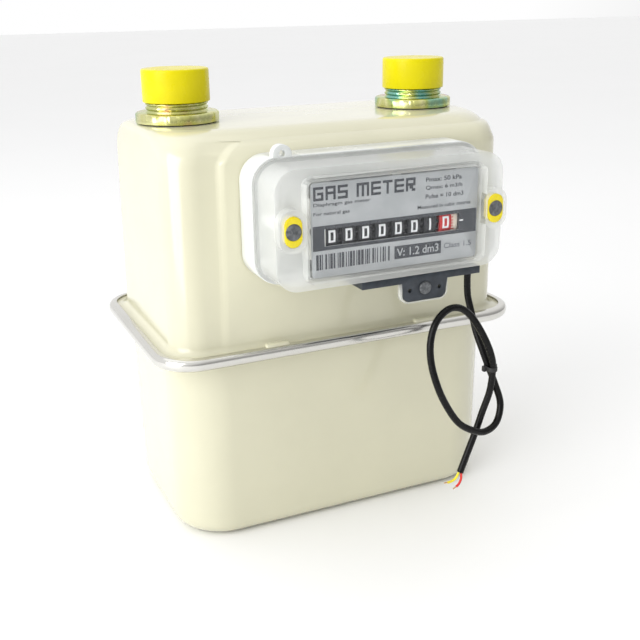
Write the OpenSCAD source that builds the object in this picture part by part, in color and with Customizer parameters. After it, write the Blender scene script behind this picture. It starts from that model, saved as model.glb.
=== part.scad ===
// Diaphragm gas meter with a pressed-steel case, a roller index and a pulse output.
// Origin: middle of the flat base. +Z up, the index faces -Y, the inlet is at -X.

/* [Case] */
// Centre distance of the two connections
connection_pitch = 130; // [110:5:160]
// Height of the top plateau above the base
case_h = 200.8; // [192:0.2:245]
// Width of the upper case at the seam
case_w = 176; // [172:1:220]
// Depth of the case at the seam
case_d = 107; // [100:1:135]
// Sheet thickness of both drawn shells
sheet_t = 1.2; // [0.8:0.1:1.6]
// Height of the seam between the two shells
seam_z = 98; // [85:1:110]
// Radius of the upper case's upright corners
upper_corner_r = 15; // [10:1:20]
// Radius between the upper case's front and back and its top
top_edge_r = 16; // [10:1:18]
// Radius between the upper case's ends and its top
side_edge_r = 3.5; // [2:0.5:8]
// Radius of the lower case's upright corners
lower_corner_r = 26; // [18:1:30]
// Radius between the lower case's walls and its base
base_edge_r = 8; // [5:1:20]
// How much the upper walls lean in from the seam to the top, except at the front tier
upper_draft = 2; // [1:0.5:4]
// How much the lower walls lean in from the seam to the base
lower_draft = 1; // [0.5:0.5:4]

/* [Seam] */
// Width of the flat lip outside the wall
lip_w = 8; // [6:0.5:10]
// Thickness of the rubber seam gasket
gasket_t = 1.5; // [1:0.1:3]
// Sheet thickness of the folded clamp band
band_t = 1; // [0.8:0.1:1.5]
// How far the band's legs reach in over the lips
band_leg = 3; // [2:0.5:4]

/* [Connections] */
// Outside radius of the connection thread
thread_r = 15; // [12:0.5:18]
// Pitch of the connection thread
thread_pitch = 2; // [1:0.5:3]
// Radius of the gas way through a connection
port_r = 12.5; // [9:0.5:13]
// Length of the threaded neck above its collar
neck_h = 16; // [12:1:20]
// Radius of the collar that sits on the case
collar_r = 20; // [18:0.5:24]
// Thickness of the collar
collar_h = 4.6; // [3:0.2:6]
// Height of a protective cap
cap_h = 15.3; // [13:0.5:20]
// Wall of a protective cap
cap_t = 0.8; // [0.8:0.1:2]
// Clearance between a cap and the thread
cap_gap = 0.3; // [0.1:0.05:0.5]

/* [Index housing] */
// Width of the index base
index_w = 117; // [112:1:120]
// Height of the index base
index_h = 57; // [54:1:60]
// Depth of the white index base
index_base_d = 15; // [12:1:18]
// Depth of the clear cover in front of the base
index_cover_d = 22; // [20:1:26]
// Sideways place of the index's middle
index_x = 4; // [0:1:6]
// Height of the index's middle
index_z = 163; // [160:1:165]
// Width of the raised window
window_w = 89; // [86:1:90]
// Height of the raised window
window_h = 46; // [43:1:47]
// How far the window stands out of the cover
window_d = 5.5; // [4:0.5:7]
// Wall of the cover and of the base
index_t = 1.8; // [1.4:0.1:2.4]
// Spacing of the two sealed cover screws
seal_pitch = 100; // [99.5:0.5:101]

/* [Counter] */
// Number of figure drums
drum_count = 8; // [8:1:8]
// Outside radius of a figure drum
drum_r = 11; // [10:0.25:11.5]
// Pitch of the drums along their shaft
drum_pitch = 8.1; // [7.6:0.1:8.4]
// Radius of the drum shaft
drum_shaft_r = 1.5; // [1:0.1:2]
// Radius of the carry pinions' shaft
pinion_shaft_r = 0.8; // [0.6:0.1:1]
// Running clearance of drums and gears on their shafts
run_gap = 0.06; // [0.03:0.01:0.1]

/* [Pulse output] */
// Width of the pulse module under the index
module_w = 62; // [56:1:66]
// Depth of the pulse module
module_d = 18; // [16:1:22]
// Height of the pulse module
module_h = 3.4; // [3:0.2:5]
// Diameter of the pulse cord
cord_d = 3.4; // [2.6:0.2:3.8]
// Diameter of one bare-ended lead
lead_d = 1.2; // [0.8:0.1:1.4]

/* [Measuring unit] */
// Inner radius of the two measuring chambers
chamber_r = 54; // [50:1:58]
// Half depth of the ring between the chamber covers
ring_half_d = 20; // [18:1:24]
// Wall of the moulded body and of its covers
body_t = 2.5; // [2:0.5:3]
// Radius of a diaphragm's stiff disc
pan_r = 40; // [36:1:44]
// Radius of a flag rod
flag_rod_r = 2; // [1.5:0.25:3]
// Reach of a flag's blade from its rod
flag_reach = 28; // [24:1:30]
// Number of teeth of the index shaft's worm wheel
wheel_teeth = 20; // [16:1:24]

/* [Hidden] */
$fn = 48;
// air between pieces that pass or face each other
air = 0.4;
side = [-1, 1];

// ---- case
base_lip_z = seam_z - gasket_t / 2;
upper_lip_z = seam_z + gasket_t / 2;
foot_r = 3.5;
lip_r = 19.5;
lip_hx = case_w / 2 + lip_w;
lip_hy = case_d / 2 + lip_w;
tier_proud = 0.6;
tier_drop = 4;
tier_edge_r = 10;
tier_corner_r = 18;
tier_blend = 5;
tier_x = 23.5 - case_w / 2;
tier_top_z = case_h - tier_drop;
front_y = -case_d / 2 - tier_proud;
foot_steps = 4;
corner_steps = 10;
blend_steps = 4;
band_gap = 0.2;
band_r = 2.6;
band_h = gasket_t / 2 + sheet_t + 0.05;

// ---- connections
connection_x = connection_pitch / 2;
seal_t = 0.5;
collar_z = case_h + seal_t;
neck_z = collar_z + collar_h;
neck_top_z = neck_z + neck_h;
tail_r = thread_r - 0.6;
nut_h = 4;
nut_room = 5.4;
nut_r = min(tail_r + 3, (case_w - connection_pitch) / 2 - nut_room);
tail_h = seal_t + sheet_t + nut_h + 4;
tail_z = collar_z - tail_h;
cap_rise = 4.1;
cap_z = neck_top_z + cap_rise - cap_h;
duct_slip = 3.5;

// ---- index housing
index_gasket_t = 0.8;
base_y = front_y - index_gasket_t;
cover_back_y = base_y - index_base_d;
cover_y = cover_back_y - index_cover_d;
window_y = cover_y - window_d;
cover_inset = 2;
index_corner_r = 12;
window_corner_r = 4;
plate_t = 0.8;
plate_y = window_y + index_t + 1;
plate_w = window_w - 2 * index_t - 3;
plate_h = window_h - 2 * index_t - 1.4;
seal_x = index_x - 0.5;
seal_z = index_z + 1.4;
boss_depth = 5.2;
boss_w = 12.5;
boss_tall = 19;
boss_y = cover_y - 5;
cup_w = 7.8;
cup_tall = 13.2;
plug_r = 3.6;
plug_h = 3;
cover_screw_r = 1.5;
fix_screw_r = 2;
fix_x = 48;
fix_z = index_z - 21;
eye_x = index_x - 43.5;
eye_z = index_z + index_h / 2 + 0.8;
eye_r = 4.5;
post_y = cover_y + 7;
post_r = 3.6;

// ---- counter
counter_z = index_z - 3.3;
drum_y = plate_y + plate_t + air + drum_r;
drum_x0 = index_x - 30.4;
drum_w = drum_pitch - 0.5;
drum_gear_w = 1.6;
carry_m = 1;
drum_teeth = 20;
pinion_teeth = 8;
carry_dist = carry_m * (drum_teeth + pinion_teeth) / 2;
carry_angle = 50;
pinion_y = drum_y + carry_dist * cos(carry_angle);
pinion_z = counter_z + carry_dist * sin(carry_angle);
red_x = drum_x0 + (drum_count - 1) * drum_pitch;
crown_x = red_x + drum_w / 2;
crown_h = 1.2;
crown_teeth = 24;
crown_r = 5;
index_shaft_r = 1.5;
crown_pinion_r = 3.6;
crown_pinion_teeth = 12;
index_shaft_x = crown_x + crown_h + air + crown_pinion_r;
frame_t = 1.2;
frame_x0 = drum_x0 - drum_pitch / 2 - 1.2;
frame_x1 = index_shaft_x + crown_pinion_r + 1.6;
frame_back_y = base_y - index_t - 2;
drum_web_t = 1;
pinion_gap = 0.3;
slot_w = drum_count * drum_pitch + 3.5;
slot_h = 7.6;
slot_x = (drum_x0 + red_x) / 2 + 1;
magnet_r = 1.2;
magnet_h = 1.5;

// ---- pulse output
module_x = index_x + 15.5;
module_z1 = index_z - index_h / 2 + cover_inset - air;
module_z0 = module_z1 - module_h;
module_y1 = cover_back_y - 3;
module_y0 = module_y1 - module_d;
tab_w = 24;
tab_h = 9;
tab_r = 3.2;
tab_t = 3;
tab_x = module_x + 1.3;
tab_plug_r = 3;
tab_plug_z = module_z0 - 3.2;
gland_x = 51;
gland_y = -80;
gland_h = 2.6;
gland_z = module_z0 - gland_h;

// ---- cord: hand-chosen points, from the gland down, round one loop and through the tie
cord_route = [
    [gland_x, gland_y, gland_z], [51, -80, 125], [51.2, -80.7, 118], [52.1, -83.2, 110],
    [52.2, -87.2, 102],
    [53.2, -92, 93.5], [54.7, -95.3, 86], [57.6, -97.4, 77], [59.7, -99.4, 68], [57.6, -101.5, 61.2],
    [53, -103.5, 57.6], [46, -105, 57], [38, -106, 60.6], [31, -106.5, 66], [25, -106, 75],
    [20.5, -105, 85], [18.5, -102, 96], [19, -100, 106], [23, -98, 114.5], [30, -96.5, 119],
    [37, -95.5, 118.5], [42.6, -95.5, 114.5], [47.2, -96.5, 108], [51.4, -98, 99.5],
    [53.9, -99, 92], [54.8, -98.9, 85.8], [53.6, -99, 75], [50, -98.5, 64], [46.5, -98.5, 54],
    [42, -99, 44], [37.5, -100, 35]
];
cord_sides = 8;
yellow_route = [[36.75, -100.1, 35.2], [35, -100, 32.2], [32, -100, 31], [28.5, -100, 31.2]];
red_route = [[38.1, -100.1, 34.5], [38.2, -100, 31.2], [36.8, -100, 28.4], [33.8, -100, 26.6]];
lead_sides = 8;
tie_at = [54.75, -97.1, 85.9];
tie_hx = cord_d / 2 + 0.8;
tie_hy = cord_d + 0.8;
tie_t = 1;

// ---- measuring unit
unit_z = 72;
ring_r = chamber_r + body_t;
partition_t = 3;
cover_dish = 12;
diaphragm_t = 1;
pan_y = ring_half_d - 2;
pan_t = 3;
flag_y = 8;
flag_x = -flag_reach - 16;
flag_blade_t = 1.2;
table_z = 138;
table_t = 4;
table_hx = 66;
table_hy = 32;
valve_z = table_z + table_t;
valve_h = 6;
shaft_offset = 16;
crank_x = index_shaft_x - shaft_offset;
crank_y = 4;
worm_r = 4.5;
worm_h = 16;
shaft_end_y = crank_y + 2.5;
valve_x = crank_x - 26;
valve_y = crank_y - 20;
wheel_r = shaft_offset - worm_r - air;
wheel_w = 5;
lever_z = valve_z + 8;
duct_r = 11;
duct_bell_r = tail_r + 2;
duct_x0 = 40;
duct_hy = 5;

// ---------------------------------------------------------------- helpers
function arc(cx, cy, r, a0, a1, n) =
    [for (i = [0:n]) let (a = a0 + (a1 - a0) * i / n) [cx + r * cos(a), cy + r * sin(a)]];

function smooth(t) = t * t * (3 - 2 * t);

// plan outline with corners of radius r; from px to the right it stands p out of the front,
// and its front right corner, of radius rt, is moved p out in Y and q out in X
function outline(hx, hy, r, p = 0, q = 0, rt = undef, px = tier_x) =
    let (rf = is_undef(rt) ? r : rt)
    concat(
        arc(hx - r, hy - r, r, 0, 90, corner_steps),
        arc(r - hx, hy - r, r, 90, 180, corner_steps),
        arc(r - hx, r - hy, r, 180, 270, corner_steps),
        [for (i = [0:blend_steps]) let (t = i / blend_steps)
            [max(px, r - hx + tier_blend) + tier_blend * (t - 0.5), -hy - p * smooth(t)]],
        arc(hx + q - rf, rf - hy - p, rf, 270, 360, corner_steps));

function at_height(pts, z) = [for (p = pts) [p[0], p[1], z]];

// closed skin over a stack of rings, capped at both ends
module loft(rings) {
    n = len(rings[0]);
    m = len(rings);
    polyhedron(
        points = [for (r = rings) for (p = r) p],
        faces = concat(
            [[for (i = [0:n - 1]) i]],
            [for (j = [0:m - 2]) for (i = [0:n - 1]) let (k = (i + 1) % n)
                [j * n + i, (j + 1) * n + i, (j + 1) * n + k, j * n + k]],
            [[for (i = [n - 1:-1:0]) (m - 1) * n + i]]),
        convexity = 6);
}

// closed skin over a stack of rings whose last ring meets the first
module loop_loft(rings) {
    n = len(rings[0]);
    m = len(rings);
    polyhedron(
        points = [for (r = rings) for (p = r) p],
        faces = [for (j = [0:m - 1]) for (i = [0:n - 1])
            let (k = (i + 1) % n, l = (j + 1) % m)
                [j * n + i, l * n + i, l * n + k, j * n + k]],
        convexity = 6);
}

function unit(v) = v / norm(v);

// direction of a route at its point i
function heading(p, i) = unit(p[min(i + 1, len(p) - 1)] - p[max(i - 1, 0)]);

function tube_ring(c, t, r, n) =
    let (u = unit(cross(t, [0.2, 1, 0.1])), v = cross(t, u))
        [for (i = [0:n - 1]) let (a = 360 * i / n) c + r * (cos(a) * u + sin(a) * v)];

module tube(route, d, sides) {
    loft([for (i = [0:len(route) - 1]) tube_ring(route[i], heading(route, i), d / 2, sides)]);
}

module rounded_rect(w, h, r) {
    square([w - 2 * r, h], center = true);
    square([w, h - 2 * r], center = true);
    for (x = side, y = side) translate([x * (w / 2 - r), y * (h / 2 - r)]) circle(r);
}

module obround(w, h) {
    square([w, h - w], center = true);
    for (y = side) translate([0, y * (h - w) / 2]) circle(w / 2);
}

// a 2D shape in X and Z, standing upright with its front at y and its back at y + t
module upright(y, t) {
    translate([0, y + t, 0]) rotate([90, 0, 0]) linear_extrude(t) children();
}

// a cylinder along Y from y to y + h
module y_rod(x, y, z, r, h) {
    translate([x, y + h, z]) rotate([90, 0, 0]) cylinder(r = r, h = h);
}

// a cylinder along X from x to x + h
module x_rod(x, y, z, r, h) {
    translate([x, y, z]) rotate([0, 90, 0]) cylinder(r = r, h = h);
}

// straight-toothed gear outline: a root circle with tapered teeth, the first one at angle phase
module gear(teeth, pitch_r, addendum, dedendum, half_root, half_tip, phase = 0) {
    circle(pitch_r - dedendum);
    for (i = [0:teeth - 1]) rotate(phase + 360 * i / teeth)
        polygon([[pitch_r - dedendum - 0.4, -half_root], [pitch_r + addendum, -half_tip],
                 [pitch_r + addendum, half_tip], [pitch_r - dedendum - 0.4, half_root]]);
}

// ---------------------------------------------------------------- case
// how far an edge rounded to radius r has pulled in at depth d below its flat
function edge_pull(d, r) = d >= r ? 0 : r - sqrt(r * r - pow(r - max(d, 0), 2));

// outline of the upper shell at height z, drawn in by inset
function upper_outline(z, inset) =
    let (lean = upper_draft * (z - upper_lip_z) / (case_h - upper_lip_z),
         fillet = edge_pull(case_h - z, top_edge_r),
         side_pull = edge_pull(case_h - z, side_edge_r) + 0.6 * lean,
         tier_pull = edge_pull(tier_top_z - z, tier_edge_r),
         p = max(fillet + lean + tier_proud - tier_pull, 0),
         r = upper_corner_r + 0.85 * fillet - inset)
        z < tier_top_z && p > 0
            ? outline(case_w / 2 - side_pull - inset, case_d / 2 - fillet - lean - inset, r, p,
                      max(side_pull - tier_pull, 0), upper_corner_r - inset,
                      tier_x + edge_pull(tier_top_z - z, tier_corner_r))
            : outline(case_w / 2 - side_pull - inset, case_d / 2 - fillet - lean - inset, r);

upper_levels = concat(
    [upper_lip_z + sheet_t + foot_r],
    [for (i = [9:-1:0]) tier_top_z - tier_edge_r * (1 - cos(i * 10))],
    [for (i = [6:-1:0]) case_h - (tier_drop - 0.1) * pow(i / 6, 2)]);

// a drawn shell's foot, which swings out of the wall into the lip
function foot(i, z, up, r, p) = let (a = i * 90 / foot_steps, out = foot_r * (1 - cos(a)))
    at_height(outline(case_w / 2 + out, case_d / 2 + out, r + (lip_r - r) * (1 - cos(a)) / 2,
                      p * cos(a)),
              z + up * foot_r * (1 - sin(a)));

function lip_ring(z) = at_height(outline(lip_hx, lip_hy, lip_r), z);

module upper_casing() color("ivory") difference() {
    loft(concat(
        [for (i = [len(upper_levels) - 1:-1:0])
            at_height(upper_outline(upper_levels[i], sheet_t), upper_levels[i] - sheet_t)],
        [at_height(upper_outline(upper_lip_z + foot_r, sheet_t - foot_r / 2), upper_lip_z),
         lip_ring(upper_lip_z), lip_ring(upper_lip_z + sheet_t)],
        [for (i = [foot_steps:-1:1])
            foot(i, upper_lip_z + sheet_t, 1, upper_corner_r, tier_proud)],
        [for (z = upper_levels) at_height(upper_outline(z, 0), z)]));
    for (s = side) translate([s * connection_x, 0, case_h - 5])
        cylinder(r = tail_r + 0.2, h = 10);
    y_rod(index_shaft_x, -case_d, counter_z, 5, case_d);
    for (s = side) y_rod(index_x + s * fix_x, -case_d, fix_z, fix_screw_r - 0.4, case_d);
}

// outline of the lower shell at height z, drawn in by inset
function lower_outline(z, inset) =
    let (pull = edge_pull(z, base_edge_r) + lower_draft * (base_lip_z - z) / base_lip_z)
        outline(case_w / 2 - pull - inset, case_d / 2 - pull - inset,
                max(lower_corner_r - pull * 0.6 - inset, 1.5));

lower_levels = concat([for (i = [0:8]) base_edge_r * (1 - cos(i * 90 / 8))],
                      [base_lip_z - sheet_t - foot_r]);

module lower_casing() color("ivory") loft(concat(
    [for (z = lower_levels) at_height(lower_outline(z, 0), z)],
    [for (i = [1:foot_steps]) foot(i, base_lip_z - sheet_t, -1, lower_corner_r, 0)],
    [lip_ring(base_lip_z - sheet_t), lip_ring(base_lip_z),
     at_height(lower_outline(base_lip_z - foot_r, sheet_t - foot_r / 2), base_lip_z)],
    [for (i = [len(lower_levels) - 1:-1:0])
        at_height(lower_outline(lower_levels[i], sheet_t), lower_levels[i] + sheet_t)]));

// a section of [outward, up] points carried round the seam
module round_seam(section) loop_loft([for (s = section)
    at_height(outline(lip_hx + s[0], lip_hy + s[0], lip_r + s[0]), seam_z + s[1])]);

module seam_band() color("silver") round_seam(concat(
    [[-band_leg, -band_h - band_t]],
    arc(band_gap + band_t - band_r, band_r - band_h - band_t, band_r, -90, 0, 7),
    arc(band_gap + band_t - band_r, band_h + band_t - band_r, band_r, 0, 90, 7),
    [[-band_leg, band_h + band_t], [-band_leg, band_h], [band_gap, band_h],
     [band_gap, -band_h], [-band_leg, -band_h]]));

module seam_gasket() color("dimgray") round_seam(
    [[-0.5, -gasket_t / 2], [-0.5, gasket_t / 2], [-3.5, gasket_t / 2], [-3.5, -gasket_t / 2]]);

// ---------------------------------------------------------------- connections
// profile of the threaded neck: a cut groove for each turn
module connector(s) color("darkkhaki") translate([s * connection_x, 0, 0]) rotate_extrude()
    difference() {
        union() {
            translate([port_r, collar_z]) square([collar_r - port_r, collar_h]);
            translate([port_r, neck_z - 0.01]) square([thread_r - port_r, neck_h + 0.01]);
            translate([port_r, collar_z - tail_h]) square([tail_r - port_r, tail_h + 0.01]);
        }
        translate([collar_r, neck_z]) rotate(45) square(0.9, center = true);
        translate([thread_r, neck_top_z]) rotate(45) square(1.2, center = true);
        for (z = [neck_z + thread_pitch / 2:thread_pitch:neck_top_z - thread_pitch / 2])
            translate([thread_r, z]) rotate(45) square(thread_pitch * 0.55, center = true);
    }

module inlet_connector() connector(-1);
module outlet_connector() connector(1);

module connector_seals() color("dimgray") for (s = side)
    translate([s * connection_x, 0, case_h]) difference() {
        cylinder(r = collar_r - 1.5, h = seal_t);
        translate([0, 0, -1]) cylinder(r = tail_r + 0.1, h = 4);
    }

// ring nuts with four spanner slots that hold the connectors from inside the case
module connector_locknuts() color("darkkhaki") for (s = side)
    translate([s * connection_x, 0, case_h - sheet_t - nut_h - 0.02]) difference() {
        cylinder(r = nut_r, h = nut_h);
        translate([0, 0, -1]) cylinder(r = tail_r + 0.02, h = nut_h + 2);
        for (a = [45:90:315]) rotate(a) translate([nut_r - 1.4, -2, -1]) cube([4, 4, 3]);
    }

module cap(s) color("yellow") translate([s * connection_x, 0, 0]) rotate_extrude() difference() {
    union() {
        translate([0, cap_z]) square([thread_r + cap_gap + cap_t, cap_h - 1]);
        translate([0, cap_z]) square([thread_r + cap_gap + cap_t - 1, cap_h]);
        translate([thread_r + cap_gap + cap_t - 1, cap_z + cap_h - 1]) circle(1);
    }
    translate([-1, cap_z - 1]) square([thread_r + cap_gap + 1, cap_h - cap_t + 1]);
}

module inlet_cap() cap(-1);
module outlet_cap() cap(1);

// ---------------------------------------------------------------- index housing
module index_plan(grow) translate([index_x, index_z])
    rounded_rect(index_w + 2 * grow, index_h + 2 * grow, index_corner_r + grow);

module window_plan(grow) translate([index_x, index_z])
    rounded_rect(window_w + 2 * grow, window_h + 2 * grow, window_corner_r + grow);

module index_shell() difference() {
    union() {
        upright(cover_back_y, index_base_d) index_plan(0);
        upright(cover_back_y, 4) union() {
            translate([eye_x, eye_z]) circle(eye_r);
            translate([eye_x - eye_r, eye_z - 4]) square([2 * eye_r, 4]);
        }
    }
    upright(cover_back_y - 1, index_base_d - index_t + 1) index_plan(-index_t);
    y_rod(eye_x, cover_back_y - 1, eye_z + 0.5, 1.5, 8);
    y_rod(index_shaft_x, base_y - 4, counter_z, 5, 8);
    for (s = side) y_rod(index_x + s * fix_x, base_y - 4, fix_z, fix_screw_r + 0.1, 8);
}

// screw post that stands up from the back of the base behind each seal
module index_posts() for (s = side) difference() {
    y_rod(seal_x + s * seal_pitch / 2, post_y, seal_z, post_r, base_y - index_t - post_y + 0.01);
    y_rod(seal_x + s * seal_pitch / 2, post_y - 1, seal_z, cover_screw_r + 0.02, 9);
}

module index_base() color("white") union() {
    index_shell();
    index_posts();
}

module index_gasket() color("dimgray") difference() {
    upright(base_y, index_gasket_t) index_plan(-3);
    y_rod(index_shaft_x, base_y - 4, counter_z, 6, 8);
    for (s = side) y_rod(index_x + s * fix_x, base_y - 4, fix_z, fix_screw_r + 0.3, 8);
}

// pan-head screws that hold the index base to the case
module index_screws() color("silver") for (s = side) {
    y_rod(index_x + s * fix_x, base_y - index_t - 2, fix_z, 3.6, 2);
    y_rod(index_x + s * fix_x, base_y - index_t - 0.01, fix_z, fix_screw_r - 0.45, index_t + 5);
}

module index_cover() color([0.85, 0.9, 0.95, 0.5]) difference() {
    union() {
        upright(cover_y, index_cover_d) index_plan(-cover_inset);
        upright(cover_back_y - 2.5, 2.5) index_plan(-0.4);
        upright(window_y, window_d + 1) window_plan(0);
        for (s = side) translate([seal_x + s * seal_pitch / 2, 0, seal_z])
            upright(boss_y, 6) obround(boss_w, boss_tall);
    }
    upright(cover_y + index_t, index_cover_d) index_plan(-cover_inset - index_t);
    upright(window_y + index_t, window_d + index_t) window_plan(-index_t);
    for (s = side) {
        translate([seal_x + s * seal_pitch / 2, 0, seal_z])
            upright(boss_y - 1, boss_depth + 1) obround(cup_w + 0.4, cup_tall + 0.4);
        y_rod(seal_x + s * seal_pitch / 2, boss_y, seal_z, cover_screw_r + 0.2, 20);
    }
}

module cover_screws() color("silver") for (s = side) {
    y_rod(seal_x + s * seal_pitch / 2, boss_y + boss_depth - 1.6, seal_z, 2.8, 1.6);
    y_rod(seal_x + s * seal_pitch / 2, boss_y + boss_depth - 0.1, seal_z, cover_screw_r, 12);
}

module seal_cups() color("gold") for (s = side) difference() {
    translate([seal_x + s * seal_pitch / 2, 0, seal_z])
        upright(boss_y - 0.4, boss_depth - 1.4) obround(cup_w, cup_tall);
    y_rod(seal_x + s * seal_pitch / 2, boss_y - 2, seal_z, plug_r + 0.05, 6);
}

module seal_plugs() color("darkslategray") {
    for (s = side) y_rod(seal_x + s * seal_pitch / 2, boss_y - 0.7, seal_z, plug_r, plug_h);
    y_rod(tab_x, module_y0 - 1, tab_plug_z, tab_plug_r, tab_t + 1);
}

module index_plate() color("lightgray") upright(plate_y, plate_t) difference() {
    translate([index_x, index_z]) rounded_rect(plate_w, plate_h, 1.5);
    translate([slot_x, counter_z]) square([slot_w, slot_h], center = true);
}

// ---------------------------------------------------------------- counter
module counter_frame() color("whitesmoke") difference() {
    union() {
        for (x = [frame_x0, frame_x1]) translate([x, plate_y + plate_t, counter_z - 13])
            cube([frame_t, frame_back_y - plate_y - plate_t, 27]);
        translate([frame_x0, frame_back_y - frame_t, counter_z - 13])
            cube([frame_x1 - frame_x0 + frame_t, frame_t, 27]);
        for (x = [frame_x0 + 10, frame_x1 - 12])
            y_rod(x, frame_back_y - 0.01, counter_z - 8, 4, base_y - index_t - frame_back_y + 0.01);
    }
    x_rod(frame_x0 - 1, drum_y, counter_z, drum_shaft_r + 0.02, frame_x1 - frame_x0 + 4);
    x_rod(frame_x0 - 1, pinion_y, pinion_z, pinion_shaft_r + 0.02, frame_x1 - frame_x0 + 4);
    y_rod(index_shaft_x, frame_back_y - 4, counter_z, index_shaft_r + 0.5, 8);
}

module drum_shaft() color("silver")
    x_rod(frame_x0 - 0.5, drum_y, counter_z, drum_shaft_r, frame_x1 - frame_x0 + frame_t + 1);

module pinion_shaft() color("silver")
    x_rod(frame_x0 - 0.5, pinion_y, pinion_z, pinion_shaft_r, frame_x1 - frame_x0 + frame_t + 1);

function drum_x(i) = drum_x0 + (i - 1) * drum_pitch;

// figure drum i: rim, web, hub, the driven gear on its right and the carry disc on its left
module drum(i) color(i == drum_count ? "firebrick" : "black")
    translate([drum_x(i) - drum_w / 2, drum_y, counter_z]) rotate([0, 90, 0]) difference() {
        union() {
            cylinder(r = drum_r, h = drum_w - drum_gear_w);
            if (i < drum_count) translate([0, 0, drum_w - drum_gear_w - 0.01])
                linear_extrude(drum_gear_w + 0.01) rotate(90 + carry_angle)
                    gear(drum_teeth, carry_m * drum_teeth / 2, 0.7, 0.9, 0.85, 0.3);
            else {
                translate([0, 0, drum_w - drum_gear_w - 0.01]) cylinder(r = 7, h = drum_gear_w + 0.01);
                for (i = [1:crown_teeth]) rotate(i * 360 / crown_teeth)
                    translate([crown_r, -0.35, drum_w - 0.01]) cube([1.6, 0.7, crown_h + 0.01]);
            }
        }
        translate([0, 0, -1]) cylinder(r = drum_shaft_r + run_gap, h = drum_w + 2);
        translate([0, 0, -1]) difference() {
            cylinder(r = drum_r - 1.6, h = drum_w - drum_gear_w - drum_web_t + 1);
            cylinder(r = 3.4, h = drum_w);
        }
    }

// carry pinion i sits between drum i and drum i + 1 and meshes with drum i's gear
module pinion(i) color("whitesmoke")
    translate([drum_x(i) + drum_w / 2 - drum_gear_w + pinion_gap, pinion_y, pinion_z]) rotate([0, 90, 0])
        difference() {
            linear_extrude(drum_gear_w - pinion_gap + 0.1) rotate(270 + carry_angle + 180 / pinion_teeth)
                gear(pinion_teeth, carry_m * pinion_teeth / 2, 0.7, 0.9, 0.75, 0.3);
            translate([0, 0, -1]) cylinder(r = pinion_shaft_r + run_gap, h = drum_gear_w + 2);
        }

// ---------------------------------------------------------------- index drive
module index_shaft() color("silver") union() {
    y_rod(index_shaft_x, drum_y + 3.2, counter_z, index_shaft_r, shaft_end_y + 4 - drum_y - 3.2);
    translate([index_shaft_x, drum_y + 8.2, counter_z]) rotate([90, 0, 0]) linear_extrude(4)
        gear(crown_pinion_teeth, crown_pinion_r - 0.7, 0.7, 0.7, 0.6, 0.25);
    translate([index_shaft_x, crank_y + wheel_w / 2, counter_z]) rotate([90, 0, 0])
        linear_extrude(wheel_w) gear(wheel_teeth, wheel_r - 0.8, 0.8, 0.9, 1.1, 0.5);
}

// bush that seals the index shaft where it passes the case
module shaft_gland() color("dimgray") difference() {
    union() {
        y_rod(index_shaft_x, base_y - index_t - 0.4, counter_z, 4.9, sheet_t + 8);
        y_rod(index_shaft_x, front_y + sheet_t + 1, counter_z, 7.5, 2);
    }
    y_rod(index_shaft_x, base_y - 10, counter_z, index_shaft_r + run_gap, 30);
}

module pulse_magnet() color("dimgray") 
    x_rod(red_x + drum_w / 2 - drum_gear_w - drum_web_t - magnet_h, drum_y - 6, counter_z,
          magnet_r, magnet_h);

// ---------------------------------------------------------------- pulse output
module pulse_module() color("darkslategray") difference() {
    union() {
        translate([module_x - module_w / 2, module_y0, module_z0]) cube([module_w, module_d, module_h]);
        translate([tab_x, 0, 0]) upright(module_y0, tab_t) hull() {
            translate([-tab_w / 2, module_z0]) square([tab_w, 0.01]);
            for (s = side) translate([s * (tab_w / 2 - tab_r - 0.8), module_z0 - tab_h + tab_r])
                circle(r = tab_r);
        }
    }
    translate([module_x - module_w / 2 + 3, module_y0 + 4, module_z0 + 1])
        cube([module_w - 6, module_d - 6, module_h - 1.8]);
    y_rod(tab_x, module_y0 - 1, tab_plug_z, tab_plug_r + 0.05, tab_t + 2);
    for (s = side) y_rod(tab_x + s * 7.8, module_y0 - 1, tab_plug_z - 0.5, 1, tab_t + 2);
}

// glass reed switch inside the module, below the units drum
module reed_switch() color("seagreen") x_rod(red_x - 9, module_y0 + 9, module_z0 + 1.8, 0.8, 14);

module strain_relief() color("darkslategray") translate([gland_x, gland_y, gland_z]) union() {
    cylinder(r = 2.6, h = gland_h);
    translate([0, 0, gland_h - 1]) cylinder(r = 3.2, h = 1);
}

module cord() color("black") tube(cord_route, cord_d, cord_sides);
module yellow_lead() color("yellow") tube(yellow_route, lead_d, lead_sides);
module red_lead() color("red") tube(red_route, lead_d, lead_sides);

module cord_tie() color("black") translate(tie_at) difference() {
    cube([2 * (tie_hx + tie_t), 2 * (tie_hy + tie_t), 2.4], center = true);
    cube([2 * tie_hx, 2 * tie_hy, 4], center = true);
}

// ---------------------------------------------------------------- measuring unit
// the moulded body: two chambers back to back, a neck and the platform for the valves
module centre_body() color("whitesmoke") difference() {
    union() {
        y_rod(0, -ring_half_d, unit_z, ring_r, 2 * ring_half_d);
        translate([-24, -14, unit_z + chamber_r]) cube([48, 28, table_z - unit_z - chamber_r - 2]);
        translate([-table_hx, -table_hy, table_z - 3]) cube([2 * table_hx, 2 * table_hy, 3]);
        for (s = side) translate([s * (table_hx - 10) - 3, -3, unit_z + 16])
            cube([6, 6, table_z - unit_z - 18]);
    }
    for (s = side) y_rod(0, s > 0 ? partition_t / 2 : -ring_half_d - 1, unit_z, chamber_r,
                         ring_half_d - partition_t / 2 + 1);
    for (s = side) translate([s * flag_x, s * flag_y, unit_z - 30])
        cylinder(r = flag_rod_r + run_gap, h = 120);
    translate([crank_x, crank_y, table_z - 8]) cylinder(r = 2 + run_gap, h = 12);
}

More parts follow.
